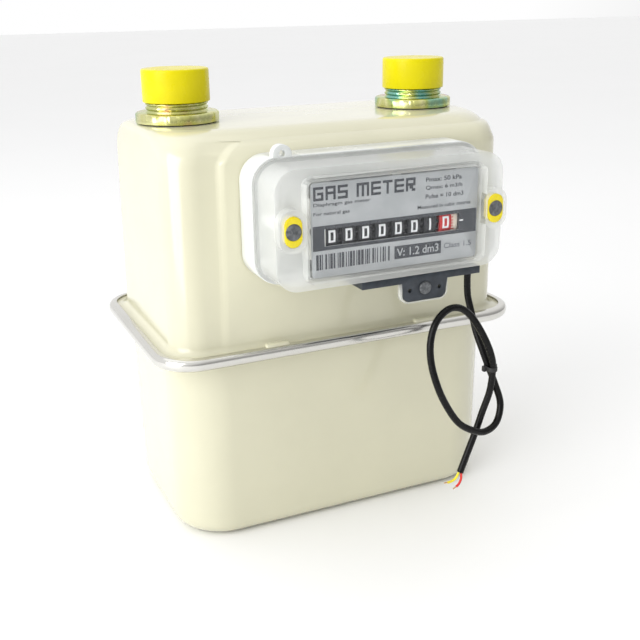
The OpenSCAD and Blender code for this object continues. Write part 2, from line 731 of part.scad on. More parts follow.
module chamber_cover(s) color("whitesmoke")
    translate([0, s * ring_half_d, unit_z]) rotate([s * -90, 0, 0]) rotate_extrude() difference() {
        union() {
            square([ring_r, body_t]);
            square([ring_r - 10, cover_dish]);
        }
        translate([-1, -1]) square([ring_r - 10 - body_t + 1, cover_dish - body_t + 1]);
    }

module front_chamber_cover() chamber_cover(-1);
module rear_chamber_cover() chamber_cover(1);

// the convoluted ring of a diaphragm, clamped inside the chamber's rim
module diaphragm(s) color("saddlebrown")
    translate([0, s * (pan_y - 2), unit_z]) rotate([s * -90, 0, 0]) rotate_extrude() union() {
        translate([chamber_r - 4, 0]) square([4, diaphragm_t]);
        difference() {
            translate([(pan_r + 5.2 + chamber_r - 3) / 2, 0]) circle((chamber_r - 8.2 - pan_r) / 2 + diaphragm_t);
            translate([(pan_r + 5.2 + chamber_r - 3) / 2, 0]) circle((chamber_r - 8.2 - pan_r) / 2);
            translate([0, -20]) square([chamber_r + 5, 20]);
        }
    }

module front_diaphragm() diaphragm(-1);
module rear_diaphragm() diaphragm(1);

// stiff disc that carries the diaphragm's middle, with a bracket for the flag's blade
module pan(s) color("gainsboro") union() {
    y_rod(0, s * pan_y - pan_t / 2, unit_z, pan_r, pan_t);
    y_rod(0, s > 0 ? pan_y + pan_t / 2 - 0.01 : -pan_y - pan_t / 2 - 2, unit_z, 10, 2.01);
}

module front_pan() pan(-1);
module rear_pan() pan(1);

// upright flag rod with its blade below and its crank lever above the platform
module flag(s) color("silver") union() {
    translate([s * flag_x, s * flag_y, unit_z - 22])
        cylinder(r = flag_rod_r, h = lever_z + 3 - unit_z + 22);
    translate([s > 0 ? flag_x : -flag_x - flag_reach, s * flag_y - flag_blade_t / 2, unit_z - 14])
        cube([flag_reach, flag_blade_t, 28]);
    translate([s > 0 ? flag_x : -flag_x - 15, s * flag_y - 3, lever_z]) cube([15, 6, 2]);
}

module front_flag() flag(-1);
module rear_flag() flag(1);

// port plate under the two slide valves
module valve_table() color("dimgray") difference() {
    translate([-duct_x0, 2 - table_hy, table_z]) cube([2 * duct_x0, 2 * table_hy - 4, table_t]);
    for (i = side) translate([valve_x + i * 6 - 1.5, crank_y - 5, table_z - 1])
        cube([3, 10, table_t + 2]);
    for (i = side) translate([crank_x - 5, valve_y + i * 5 - 1.5, table_z - 1])
        cube([10, 3, table_t + 2]);
    translate([crank_x, crank_y, table_z - 1]) cylinder(r = 2 + run_gap, h = table_t + 2);
}

module slide_valve(w, d) {
    difference() {
        translate([-w / 2, -d / 2, 0]) cube([w, d, valve_h]);
        translate([2 - w / 2, 2 - d / 2, -1]) cube([w - 4, d - 4, valve_h - 1]);
    }
}

module front_valve() color("black") translate([crank_x, valve_y, valve_z + 0.05]) slide_valve(15, 12);
module rear_valve() color("black") translate([valve_x, crank_y, valve_z + 0.05]) slide_valve(14, 15);

// crank shaft with its disc, its pin and the worm that turns the index shaft
module crank() color("whitesmoke") union() {
    translate([crank_x, crank_y, table_z - 2]) cylinder(r = 2, h = counter_z + worm_h / 2 - table_z + 2);
    translate([crank_x, crank_y, lever_z - 1]) cylinder(r = 7.5, h = 2);
    translate([crank_x + 5, crank_y, lever_z + 0.9]) cylinder(r = 1, h = 3);
    translate([crank_x, crank_y, counter_z - worm_h / 2]) cylinder(r = worm_r - 1, h = worm_h);
    for (i = [0:4]) translate([crank_x, crank_y, counter_z - worm_h / 2 + 1 + 3 * i])
        cylinder(r = worm_r, h = 1.2);
}

// duct from the valves' common port up to a bell round the outlet connection's tail
module outlet_duct() color("dimgray") difference() {
    union() {
        translate([connection_x, 0, table_z]) cylinder(r = duct_r, h = tail_z - table_z);
        translate([connection_x, 0, tail_z - 4]) cylinder(r = duct_bell_r, h = 4 + duct_slip);
        translate([duct_x0, -duct_hy, table_z]) cube([connection_x - duct_x0, 2 * duct_hy, 9]);
    }
    translate([connection_x, 0, table_z + 2]) cylinder(r = duct_r - 2, h = case_h);
    translate([connection_x, 0, tail_z - 0.3]) cylinder(r = tail_r + 0.05, h = 8);
    translate([duct_x0 - 1, 2 - duct_hy, table_z + table_t])
        cube([connection_x - duct_x0, 2 * duct_hy - 4, 3]);
}

// ---------------------------------------------------------------- assembly
upper_casing();
lower_casing();
seam_band();
seam_gasket();
inlet_connector();
outlet_connector();
connector_seals();
connector_locknuts();
inlet_cap();
outlet_cap();
index_base();
index_gasket();
index_screws();
index_cover();
cover_screws();
seal_cups();
seal_plugs();
index_plate();
counter_frame();
drum_shaft();
pinion_shaft();
for (i = [1:drum_count]) drum(i);
for (i = [1:drum_count - 1]) pinion(i);
index_shaft();
shaft_gland();
pulse_magnet();
pulse_module();
reed_switch();
strain_relief();
cord();
cord_tie();
red_lead();
yellow_lead();
centre_body();
front_chamber_cover();
rear_chamber_cover();
front_diaphragm();
rear_diaphragm();
front_pan();
rear_pan();
front_flag();
rear_flag();
valve_table();
front_valve();
rear_valve();
crank();
outlet_duct();
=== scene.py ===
"""Finished pieces of the gas meter.

Smooth shells, clear cover, printed label, figure drums and pulse cord, made around the frame.
"""

import math

import bmesh
import bpy
from bpy.props import (
    FloatProperty,
    FloatVectorProperty,
    IntProperty,
    PointerProperty,
    StringProperty,
)
from bpy.types import Operator, Panel, PropertyGroup
from mathutils import Matrix, Vector


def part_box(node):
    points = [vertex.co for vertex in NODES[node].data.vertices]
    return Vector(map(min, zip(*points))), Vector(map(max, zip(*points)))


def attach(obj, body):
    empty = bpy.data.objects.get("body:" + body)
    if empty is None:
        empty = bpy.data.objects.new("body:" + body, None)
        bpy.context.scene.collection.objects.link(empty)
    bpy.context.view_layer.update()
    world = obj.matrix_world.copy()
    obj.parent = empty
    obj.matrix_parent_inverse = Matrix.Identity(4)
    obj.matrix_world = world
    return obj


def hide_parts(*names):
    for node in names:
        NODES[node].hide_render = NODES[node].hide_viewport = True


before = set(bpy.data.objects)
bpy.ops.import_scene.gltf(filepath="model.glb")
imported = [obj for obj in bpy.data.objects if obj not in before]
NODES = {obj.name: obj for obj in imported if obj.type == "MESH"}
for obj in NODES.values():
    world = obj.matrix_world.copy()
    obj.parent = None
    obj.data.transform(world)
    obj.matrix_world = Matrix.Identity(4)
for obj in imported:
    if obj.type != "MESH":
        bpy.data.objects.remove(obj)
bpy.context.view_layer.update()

bl_info = {
    "name": "Gas Meter",
    "version": (1, 0, 0),
    "blender": (4, 5, 0),
    "location": "3D View > Sidebar > Gas Meter",
    "description": "Builds the finished pieces of a diaphragm gas meter",
    "category": "Object",
}

# Lengths are in metres; MM turns millimetres into them.
MM = 0.001
DRUMS = [n for n in sorted(NODES) if n.startswith("drum_") and n != "drum_shaft"]
PINIONS = [n for n in sorted(NODES) if n.startswith("pinion_") and n != "pinion_shaft"]


# ------------------------------------------------------------------ small tools
def deselect():
    """Leaves nothing selected and no mesh in edit mode."""
    if bpy.context.object and bpy.context.object.mode != "OBJECT":
        bpy.ops.object.mode_set(mode="OBJECT")
    bpy.ops.object.select_all(action="DESELECT")


def pick(obj):
    """Makes obj the only selected and the active object."""
    deselect()
    obj.select_set(True)
    bpy.context.view_layer.objects.active = obj
    return obj


def edit(obj, mode="FACE"):
    """Opens obj in edit mode with nothing selected."""
    pick(obj)
    bpy.ops.object.mode_set(mode="EDIT")
    bpy.ops.mesh.select_mode(type=mode)
    bpy.ops.mesh.select_all(action="DESELECT")


def select_where(obj, test, kind="faces"):
    """Selects, in edit mode, the faces or edges that test says yes to."""
    mesh = bmesh.from_edit_mesh(obj.data)
    for item in getattr(mesh, kind):
        item.select_set(bool(test(item)))
    mesh.select_flush_mode()
    bmesh.update_edit_mesh(obj.data)


def settle(obj):
    """Leaves edit mode and puts the object's place, turn and scale into its mesh."""
    pick(obj)
    bpy.ops.object.transform_apply(location=True, rotation=True, scale=True)
    return obj


def named(name):
    """The active object, renamed."""
    obj = bpy.context.object
    obj.name = name
    obj.data.name = name
    return obj


def box_piece(name, low, high):
    """A cube primitive that fills the box from low to high."""
    deselect()
    centre = [(a + b) / 2 for a, b in zip(low, high)]
    bpy.ops.mesh.primitive_cube_add(size=1, location=centre)
    obj = named(name)
    obj.scale = [b - a for a, b in zip(low, high)]
    return settle(obj)


def rod_piece(name, centre, radius, depth, vertices):
    """A cylinder primitive that lies along X, its middle at centre."""
    deselect()
    bpy.ops.mesh.primitive_cylinder_add(
        vertices=vertices, radius=radius, depth=depth, location=centre,
        rotation=(0, math.pi / 2, 0),
    )
    return settle(named(name))


def live(obj, kind, **values):
    """Adds a modifier, sets its values and applies it."""
    pick(obj)
    mod = obj.modifiers.new(kind.title(), kind)
    for key, value in values.items():
        setattr(mod, key, value)
    bpy.ops.object.modifier_apply(modifier=mod.name)
    return obj


def smooth(obj, degrees=35):
    """Smooth shading that stays sharp over edges steeper than the given angle."""
    pick(obj)
    bpy.ops.object.shade_smooth_by_angle(angle=math.radians(degrees))
    return obj


def joined(name, parts):
    """Joins parts into the first one and gives it the name."""
    deselect()
    for part in parts:
        part.select_set(True)
    bpy.context.view_layer.objects.active = parts[0]
    if len(parts) > 1:
        bpy.ops.object.join()
    return named(name)


def finish_of(obj, material):
    """Gives obj one material only."""
    obj.data.materials.clear()
    obj.data.materials.append(material)
    return obj


def place(obj, body, nodes=()):
    """Lets obj ride on its body and stand for its CAD nodes."""
    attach(obj, body)
    if nodes:
        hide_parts(*nodes)
    return obj


SAME_POINT = 0.002 * MM
FLAT_ENOUGH = math.radians(0.4)
EASED_ANGLE = math.radians(50)


def refined(node, name, material, body="case", bevel=0.0, steps=2, degrees=35):
    """A copy of a CAD node with its seams closed, its edges eased when a bevel is given, and its
    shading smooth.
    """
    obj = bpy.data.objects.new(name, NODES[node].data.copy())
    bpy.context.scene.collection.objects.link(obj)
    edit(obj, "VERT")
    bpy.ops.mesh.select_all(action="SELECT")
    bpy.ops.mesh.remove_doubles(threshold=SAME_POINT)
    bpy.ops.mesh.dissolve_limited(angle_limit=FLAT_ENOUGH)
    bpy.ops.object.mode_set(mode="OBJECT")
    if bevel:
        live(
            obj, "BEVEL", width=bevel, segments=steps, limit_method="ANGLE",
            angle_limit=EASED_ANGLE, use_clamp_overlap=True,
        )
    live(obj, "TRIANGULATE")
    smooth(obj, degrees)
    finish_of(obj, material)
    return place(obj, body, (node,))


# ------------------------------------------------------------------ finishes
TONE_STOPS = (0.35, 0.65)   # noise values at which a finish is at its dark and its light tone
NOISE_RANGE = (0.3, 0.7)    # the values that a noise texture mostly takes
GLOSS_DRIFT = 2.3           # how much finer the gloss drifts than the colour
COAT_ROUGHNESS = 0.08
ZINC_TINTS = [
    (0.30, (0.22, 0.48, 0.40)), (0.39, (0.46, 0.53, 0.17)), (0.48, (0.68, 0.66, 0.33)),
    (0.55, (0.54, 0.54, 0.17)), (0.61, (0.60, 0.29, 0.26)), (0.70, (0.25, 0.42, 0.54)),
]


def node_tree(name):
    """A new material's tree with its main shader."""
    material = bpy.data.materials.new(name)
    material.use_nodes = True
    tree = material.node_tree
    return material, tree, tree.nodes["Principled BSDF"]


def coords(tree, scale=(1, 1, 1)):
    """Object coordinates through a Mapping node."""
    source = tree.nodes.new("ShaderNodeTexCoord")
    mapping = tree.nodes.new("ShaderNodeMapping")
    mapping.inputs["Scale"].default_value = scale
    tree.links.new(source.outputs["Object"], mapping.inputs["Vector"])
    return mapping.outputs["Vector"]


def noise(tree, vector, scale, detail=4.0, roughness=0.55, distortion=0.0):
    """A noise texture's value."""
    node = tree.nodes.new("ShaderNodeTexNoise")
    node.inputs["Scale"].default_value = scale
    node.inputs["Detail"].default_value = detail
    node.inputs["Roughness"].default_value = roughness
    node.inputs["Distortion"].default_value = distortion
    tree.links.new(vector, node.inputs["Vector"])
    return node.outputs["Fac"]


def ramp(tree, value, stops):
    """A colour ramp over value; stops are (place, colour)."""
    node = tree.nodes.new("ShaderNodeValToRGB")
    band = node.color_ramp
    while len(band.elements) < len(stops):
        band.elements.new(0.5)
    for element, (at, colour) in zip(band.elements, stops):
        element.position = at
        element.color = (*colour[:3], 1)
    tree.links.new(value, node.inputs["Fac"])
    return node.outputs["Color"]


def spread(tree, value, low, high):
    """A noise value, spread from low to high."""
    node = tree.nodes.new("ShaderNodeMapRange")
    node.inputs["From Min"].default_value = NOISE_RANGE[0]
    node.inputs["From Max"].default_value = NOISE_RANGE[1]
    node.inputs["To Min"].default_value = low
    node.inputs["To Max"].default_value = high
    tree.links.new(value, node.inputs["Value"])
    return node.outputs["Result"]


def bump(tree, shader, height, strength, distance):
    """Bump from height into the shader's normal."""
    node = tree.nodes.new("ShaderNodeBump")
    node.inputs["Strength"].default_value = strength
    node.inputs["Distance"].default_value = distance
    tree.links.new(height, node.inputs["Height"])
    tree.links.new(node.outputs["Normal"], shader.inputs["Normal"])


def finish(
    name, dark, light, rough, blotch, grain, grain_depth, strength,
    metallic=0.0, coat=0.0, alpha=1.0, ior=1.5, stretch=(1, 1, 1),
):
    """A finish whose colour drifts between two near tones, with its own gloss drift and grain.

    blotch and grain are the noise scales of the drift and the grain, and grain_depth is in
    millimetres.
    """
    material, tree, shader = node_tree(name)
    vector = coords(tree, stretch)
    tone = noise(tree, vector, blotch, detail=5.0)
    colour = ramp(tree, tone, list(zip(TONE_STOPS, (dark, light))))
    tree.links.new(colour, shader.inputs["Base Color"])
    gloss = noise(tree, vector, blotch * GLOSS_DRIFT, detail=3.0)
    tree.links.new(spread(tree, gloss, *rough), shader.inputs["Roughness"])
    shader.inputs["Metallic"].default_value = metallic
    shader.inputs["IOR"].default_value = ior
    shader.inputs["Alpha"].default_value = alpha
    shader.inputs["Coat Weight"].default_value = coat
    shader.inputs["Coat Roughness"].default_value = COAT_ROUGHNESS
    bump(tree, shader, noise(tree, vector, grain, detail=3.0), strength, grain_depth * MM)
    return material


def zinc_finish(name):
    """Yellow passivated zinc: bright metal with drifting green, gold, rose and blue tints."""
    material, tree, shader = node_tree(name)
    upright = coords(tree, (1, 1, 0.35))
    tint = noise(tree, upright, 62.0, detail=1.5, roughness=0.45, distortion=0.5)
    tree.links.new(ramp(tree, tint, ZINC_TINTS), shader.inputs["Base Color"])
    gloss = noise(tree, upright, 300.0)
    tree.links.new(spread(tree, gloss, 0.16, 0.30), shader.inputs["Roughness"])
    shader.inputs["Metallic"].default_value = 1.0
    turning_marks = noise(tree, coords(tree, (1, 1, 30)), 90.0, detail=2.0)
    bump(tree, shader, turning_marks, strength=0.15, distance=0.02 * MM)
    return material


def make_finishes(look):
    """Every finish of the meter, by name."""
    pale = tuple(min(1.0, c * 1.03) for c in look.enamel)
    deep = tuple(c * 0.97 for c in look.enamel)
    return {
        "enamel": finish("enamel", deep, pale, (0.16, 0.24), 14, 420, 0.05, 0.12, coat=0.6),
        "band": finish("band_steel", (0.62, 0.61, 0.575), (0.72, 0.71, 0.675), (0.12, 0.20), 40,
                       500, 0.005, 0.1, metallic=1.0, stretch=(0.3, 0.3, 3)),
        "zinc": zinc_finish("passivated_zinc"),
        "steel": finish("plain_steel", (0.50, 0.51, 0.52), (0.68, 0.69, 0.70), (0.25, 0.4), 150,
                        900, 0.02, 0.3, metallic=1.0),
        "rubber": finish("black_rubber", (0.018, 0.018, 0.018), (0.035, 0.035, 0.036),
                         (0.55, 0.75), 200, 1500, 0.03, 0.4),
        "cap": finish("cap_plastic", (0.68, 0.59, 0.001), (0.75, 0.66, 0.001), (0.22, 0.32), 45,
                      800, 0.02, 0.15, ior=1.3),
        "shell": finish("index_white", (0.72, 0.74, 0.73), (0.80, 0.82, 0.81), (0.18, 0.28), 40,
                        900, 0.02, 0.2, coat=0.3),
        "clear": finish("index_clear", (0.86, 0.90, 0.93), (0.94, 0.96, 0.98), (0.02, 0.05), 30,
                        300, 0.03, 0.12, alpha=0.022, ior=2.6),
        "haze": finish("index_haze", (0.88, 0.90, 0.87), (0.96, 0.97, 0.94), (0.08, 0.16), 40,
                       500, 0.03, 0.2, alpha=0.38, ior=1.7),
        "label": finish("label_grey", (0.40, 0.42, 0.43), (0.46, 0.48, 0.49), (0.35, 0.5), 120,
                        1800, 0.01, 0.2),
        "ink": finish("label_ink", (0.035, 0.04, 0.05), (0.06, 0.065, 0.075), (0.4, 0.55), 300,
                      1800, 0.01, 0.2),
        "ink_grey": finish("label_ink_grey", (0.16, 0.17, 0.19), (0.22, 0.23, 0.25), (0.4, 0.55),
                           300, 1800, 0.01, 0.2),
        "drum": finish("drum_black", (0.012, 0.013, 0.016), (0.022, 0.023, 0.028), (0.4, 0.55),
                       150, 1500, 0.02, 0.3),
        "drum_red": finish("drum_red", (0.50, 0.015, 0.018), (0.62, 0.03, 0.03), (0.38, 0.5),
                           150, 1500, 0.02, 0.3),
        "figure": finish("figure_white", (0.82, 0.84, 0.85), (0.92, 0.93, 0.94), (0.4, 0.5),
                         300, 1500, 0.01, 0.2),
        "tick": finish("tick_cream", (0.72, 0.62, 0.52), (0.80, 0.71, 0.60), (0.4, 0.5), 300,
                       1500, 0.01, 0.2),
        "gear": finish("gear_white", (0.74, 0.74, 0.70), (0.84, 0.84, 0.80), (0.35, 0.5), 120,
                       1200, 0.02, 0.3),
        "seal": finish("seal_yellow", (0.78, 0.62, 0.004), (0.86, 0.72, 0.008), (0.22, 0.35), 120,
                       900, 0.02, 0.25, coat=0.2),
        "lead": finish("seal_lead", (0.09, 0.095, 0.10), (0.20, 0.21, 0.22), (0.42, 0.62), 700,
                       1100, 0.12, 0.8, metallic=0.6),
        "module": finish("module_dark", (0.020, 0.026, 0.034), (0.038, 0.046, 0.058),
                         (0.35, 0.5), 200, 2200, 0.03, 0.5),
        "cord": finish("cord_black", (0.003, 0.003, 0.003), (0.007, 0.007, 0.007), (0.22, 0.30),
                       200, 1200, 0.01, 0.15, ior=1.28),
        "lead_red": finish("lead_red", (0.65, 0.012, 0.012), (0.78, 0.03, 0.02), (0.28, 0.4),
                           300, 1200, 0.01, 0.2),
        "lead_yellow": finish("lead_yellow", (0.80, 0.66, 0.02), (0.90, 0.78, 0.04), (0.28, 0.4),
                              300, 1200, 0.01, 0.2),
        "copper": finish("bare_copper", (0.62, 0.36, 0.18), (0.78, 0.50, 0.28), (0.25, 0.4), 500,
                         1500, 0.02, 0.3, metallic=1.0),
        "moulding": finish("unit_plastic", (0.70, 0.70, 0.66), (0.80, 0.80, 0.76), (0.4, 0.55),
                           60, 900, 0.03, 0.3),
        "membrane": finish("diaphragm_rubber", (0.16, 0.075, 0.045), (0.26, 0.13, 0.08),
                           (0.55, 0.75), 120, 700, 0.08, 0.6),
        "valve": finish("valve_black", (0.02, 0.02, 0.022), (0.04, 0.04, 0.044), (0.3, 0.45),
                        120, 1200, 0.02, 0.3),
        "glass": finish("glass_tube", (0.55, 0.72, 0.60), (0.65, 0.80, 0.70), (0.04, 0.08), 200,
                        900, 0.01, 0.1, alpha=0.5, ior=1.8),
    }


FINISHES = {}   # filled by the stage operator, which runs first


# ------------------------------------------------------------------ settings
class GasMeterLook(PropertyGroup):
    """Colours and print of the meter."""

    enamel: FloatVectorProperty(
        name="Enamel", description="Colour of the painted case", subtype="COLOR", size=3,
        min=0, max=1, default=(0.66, 0.64, 0.475),
    )
    reading: StringProperty(
        name="Reading", description="Figures shown by the drums", default="00000010",
    )
    figure_height: FloatProperty(
        name="Figure height", description="Height of a figure on its drum", unit="LENGTH",
        default=5.5 * MM, min=3 * MM, max=7 * MM,
    )
    figure_stroke: FloatProperty(
        name="Figure stroke", description="Thickness of a figure's lines", unit="LENGTH",
        default=0.95 * MM, min=0.4 * MM, max=1.4 * MM,
    )
    kind: StringProperty(
        name="Kind", description="First small line on the label",
        default="Diaphragm gas meter",
    )
    use: StringProperty(
        name="Use", description="Second small line on the label", default="For natural gas",
    )
    title: StringProperty(
        name="Title", description="Large generic words on the label", default="GAS METER",
    )


class GasMeterCord(PropertyGroup):
    """Sizes of the pulse cord."""

    diameter: FloatProperty(
        name="Diameter", description="Diameter of the cord", unit="LENGTH",
        default=3.4 * MM, min=2.6 * MM, max=3.8 * MM,
    )
    lead: FloatProperty(
        name="Lead diameter", description="Diameter of one lead", unit="LENGTH",
        default=1.2 * MM, min=0.8 * MM, max=1.4 * MM,
    )
    rings: IntProperty(
        name="Steps", description="Steps between two points of the route", default=6, min=2,
        max=12,
    )


class GasMeterStage(PropertyGroup):
    """Camera, floor and light."""

    lens: FloatProperty(
        name="Lens", description="Focal length of the camera in millimetres", default=53.35,
        min=20, max=200,
    )
    eye: FloatVectorProperty(
        name="Camera place", description="Where the camera stands", subtype="TRANSLATION",
        size=3, default=(-0.19507, -0.45146, 0.25688),
    )
    floor: FloatVectorProperty(
        name="Floor", description="Colour of the floor", subtype="COLOR", size=3, min=0, max=1,
        default=(0.95, 0.95, 0.95),
    )
    daylight: FloatProperty(
        name="Surround", description="Strength of the white surround", default=1.0, min=0,
        max=5,
    )
    shade: FloatProperty(
        name="Shade", description="How bright the dim side of the surround is",
        subtype="FACTOR", default=0.45, min=0, max=1,
    )
    key: FloatProperty(
        name="Key light", description="Power of the key light in watts", default=11.0, min=0,
        max=100,
    )


# The columns are the camera's right, up and backward directions.
CAMERA_AXES = Matrix((
    (0.90920, 0.14771, -0.38929),
    (-0.41608, 0.28728, -0.86276),
    (-0.01561, 0.94639, 0.32265),
))
SENSOR_MILLIMETRES = 36
NEAR_LIMIT = 0.01
FLOOR_SIZE = 16
FLOOR_HEIGHT = -0.0003              # just under the case's foot
BRIGHT_WAY = (-0.55, 0.60, 0.58)    # the surround is brightest this way
SHADE_FROM, SHADE_TO = -0.45, 0.15  # along that way it goes from its shade to white
LAMP_SIZE = 0.9
LAMP_STRETCH = 1.2                  # a lamp's long side over its short one
# Each lamp's name, its place, the point it faces and its share of the key light's power.
LAMPS = (
    ("key", (-1.10, -0.40, 0.60), (0, 0, 0.10), 1.0),
    ("top", (-0.20, 0.30, 1.20), (0, 0, 0.15), 0.12),
)


def surround(strength, shade):
    """A white studio whose front right side is dimmer, so that gloss and metal show form."""
    world = bpy.data.worlds.new("surround")
    world.use_nodes = True
    tree = world.node_tree
    back = tree.nodes["Background"]
    back.inputs["Strength"].default_value = strength
    way = tree.nodes.new("ShaderNodeTexCoord")
    along = tree.nodes.new("ShaderNodeVectorMath")
    along.operation = "DOT_PRODUCT"
    along.inputs[1].default_value = BRIGHT_WAY
    tree.links.new(way.outputs["Generated"], along.inputs[0])
    scale = tree.nodes.new("ShaderNodeMapRange")
    scale.inputs["From Min"].default_value = SHADE_FROM
    scale.inputs["From Max"].default_value = SHADE_TO
    tree.links.new(along.outputs["Value"], scale.inputs["Value"])
    tone = ramp(tree, scale.outputs["Result"], [
        (0.0, (shade, shade, shade)), (1.0, (1.0, 1.0, 1.0))])
    tree.links.new(tone, back.inputs["Color"])
    return world


class GASMETER_OT_stage(Operator):
    """Set up the camera, the floor and the soft light"""

    bl_idname = "gasmeter.stage"
    bl_label = "Stage"

    def execute(self, context):
        stage = context.scene.gas_meter_stage
        FINISHES.update(make_finishes(context.scene.gas_meter_look))
        deselect()
        bpy.ops.object.camera_add(location=stage.eye)
        camera = named("camera")
        camera.rotation_euler = CAMERA_AXES.to_euler()
        camera.data.lens = stage.lens
        camera.data.sensor_width = SENSOR_MILLIMETRES
        camera.data.clip_start = NEAR_LIMIT
        context.scene.camera = camera
        deselect()
        bpy.ops.mesh.primitive_plane_add(size=FLOOR_SIZE, location=(0, 0, FLOOR_HEIGHT))
        floor = settle(named("floor"))
        finish_of(floor, finish("floor_white", tuple(c * 0.99 for c in stage.floor),
                                tuple(stage.floor), (0.5, 0.6), 3, 30, 0.01, 0.05))
        context.scene.world = surround(stage.daylight, stage.shade)
        for name, at, facing, share in LAMPS:
            deselect()
            bpy.ops.object.light_add(type="AREA", location=at)
            lamp = named(name)
            lamp.data.shape = "RECTANGLE"
            lamp.data.size = LAMP_SIZE
            lamp.data.size_y = LAMP_SIZE * LAMP_STRETCH
            lamp.data.energy = stage.key * share
            way = Vector(facing) - Vector(at)
            lamp.rotation_euler = way.to_track_quat("-Z", "Y").to_euler()
        context.scene.view_settings.view_transform = "Standard"
        return {"FINISHED"}


# ------------------------------------------------------------------ cord
# Routes in millimetres: the cord runs from its gland to the end where the two leads come out.
CORD_ROUTE = [
    (51, -80, 130.1), (51, -80, 125), (51.2, -80.7, 118), (52.1, -83.2, 110), (52.2, -87.2, 102),
    (53.2, -92, 93.5), (54.7, -95.3, 86), (57.6, -97.4, 77), (59.7, -99.4, 68),
    (57.6, -101.5, 61.2), (53, -103.5, 57.6), (46, -105, 57), (38, -106, 60.6), (31, -106.5, 66),
    (25, -106, 75), (20.5, -105, 85), (18.5, -102, 96), (19, -100, 106), (23, -98, 114.5),
    (30, -96.5, 119), (37, -95.5, 118.5), (42.6, -95.5, 114.5), (47.2, -96.5, 108),
    (51.4, -98, 99.5), (53.9, -99, 92), (54.8, -98.9, 85.8), (53.6, -99, 75), (50, -98.5, 64),
    (46.5, -98.5, 54), (42, -99, 44), (37.5, -100, 35),
]
YELLOW_ROUTE = [(36.75, -100.1, 35.2), (35, -100, 32.2), (32, -100, 31), (28.5, -100, 31.2)]
RED_ROUTE = [(38.1, -100.1, 34.5), (38.2, -100, 31.2), (36.8, -100, 28.4), (33.8, -100, 26.6)]
# Each lead's piece, CAD node, finish and route.
LEADS = (
    ("yellow_wire", "yellow_lead", "lead_yellow", YELLOW_ROUTE),
    ("red_wire", "red_lead", "lead_red", RED_ROUTE),
)
LEAD_STEPS = 5              # steps between two points of a lead's route
BARE_STEPS = 3              # the last steps of a lead have no sheath
BARE_SHARE = 0.28           # a lead's bare end has this radius over the lead's diameter
STRAP_ROOM = 0.75 * MM      # from the cord's side to the outside of the strap
STRAP_INSET = 1.3 * MM      # from the tie's box to the strap, front and back
STRAP_HALF = 1.1 * MM       # half the strap's width
STRAP_THICKNESS = 0.6 * MM
NUB_OUT = 0.55 * MM         # how far past the strap its head and its tail sit
NUB_STEP = 0.2 * MM         # how far up the one and down the other
NUB_LOW = Vector((-0.9, -0.2, -1.3)) * MM
NUB_HIGH = Vector((0.75, 1.9, 1.3)) * MM


def flowing(route, steps):
    """Points in metres on one smooth line through the route, which is in millimetres."""
    points = [Vector(p) * MM for p in route]
    line = []
    last = len(points) - 1
    for i in range(last):
        a, b = points[max(i - 1, 0)], points[i]
        c, d = points[i + 1], points[min(i + 2, last)]
        for k in range(steps):
            t = k / steps
            line.append(0.5 * (2 * b + (c - a) * t + (2 * a - 5 * b + 4 * c - d) * t * t
                               + (3 * b - a - 3 * c + d) * t * t * t))
    return line + [points[-1]]


def tube_piece(name, line, radius, material):
    """A round tube along a line, made from a poly curve, with its ends closed."""
    curve = bpy.data.curves.new(name, "CURVE")
    curve.dimensions = "3D"
    curve.bevel_depth = radius
    curve.bevel_resolution = 4
    curve.use_fill_caps = True
    spline = curve.splines.new("POLY")
    spline.points.add(len(line) - 1)
    for point, at in zip(spline.points, line):
        point.co = (*at, 1)
    obj = bpy.data.objects.new(name, curve)
    bpy.context.scene.collection.objects.link(obj)
    pick(obj)
    bpy.ops.object.convert(target="MESH")
    obj = named(name)
    smooth(obj, 50)
    return finish_of(obj, material)


class GASMETER_OT_cord(Operator):
    """Build the pulse cord, its two leads, its tie and its strain relief"""

    bl_idname = "gasmeter.cord"
    bl_label = "Pulse cord"

    def tie(self, cord_radius):
        """A narrow strap round the two crossing runs, with its head and its cut tail."""
        low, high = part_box("cord_tie")
        middle = (low + high) / 2
        reach = cord_radius + STRAP_ROOM
        strap = box_piece("strap",
                          (middle.x - reach, low.y + STRAP_INSET, middle.z - STRAP_HALF),
                          (middle.x + reach, high.y - STRAP_INSET, middle.z + STRAP_HALF))
        edit(strap, "EDGE")
        select_where(strap, lambda edge: abs(edge.verts[0].co.z - edge.verts[1].co.z) > MM,
                     "edges")
        bpy.ops.mesh.bevel(offset=reach * 0.96, segments=8)
        bpy.ops.mesh.select_mode(type="FACE")
        select_where(strap, lambda face: abs(face.normal.z) > 0.9)
        bpy.ops.mesh.delete(type="FACE")
        bpy.ops.object.mode_set(mode="OBJECT")
        live(strap, "SOLIDIFY", thickness=STRAP_THICKNESS, offset=-1)
        nubs = []
        for side in (-1, 1):
            at = middle + Vector((side * (reach + NUB_OUT), 0, side * NUB_STEP))
            nubs.append(box_piece("nub", at + NUB_LOW, at + NUB_HIGH))
        tie = joined("wire_tie", [strap] + nubs)
        live(tie, "BEVEL", width=0.3 * MM, segments=3, limit_method="ANGLE")
        smooth(finish_of(tie, FINISHES["rubber"]))
        return place(tie, "case", ("cord_tie",))

    def execute(self, context):
        sizes = context.scene.gas_meter_cord
        line = flowing(CORD_ROUTE, sizes.rings)
        cord = tube_piece("pulse_cord", line, sizes.diameter / 2, FINISHES["cord"])
        place(cord, "case", ("cord",))
        leads = []
        for name, node, paint, route in LEADS:
            path = flowing(route, LEAD_STEPS)
            sheath = tube_piece(name, path[:-BARE_STEPS], sizes.lead / 2, FINISHES[paint])
            place(sheath, "case", (node,))
            bare = tube_piece(name + "_end", path[-BARE_STEPS - 2:], sizes.lead * BARE_SHARE,
                              FINISHES["copper"])
            place(bare, "case")
            leads += [sheath, bare]
        tie = self.tie(sizes.diameter / 2)
        refined("strain_relief", "cord_gland", FINISHES["module"])
        return {"FINISHED"}


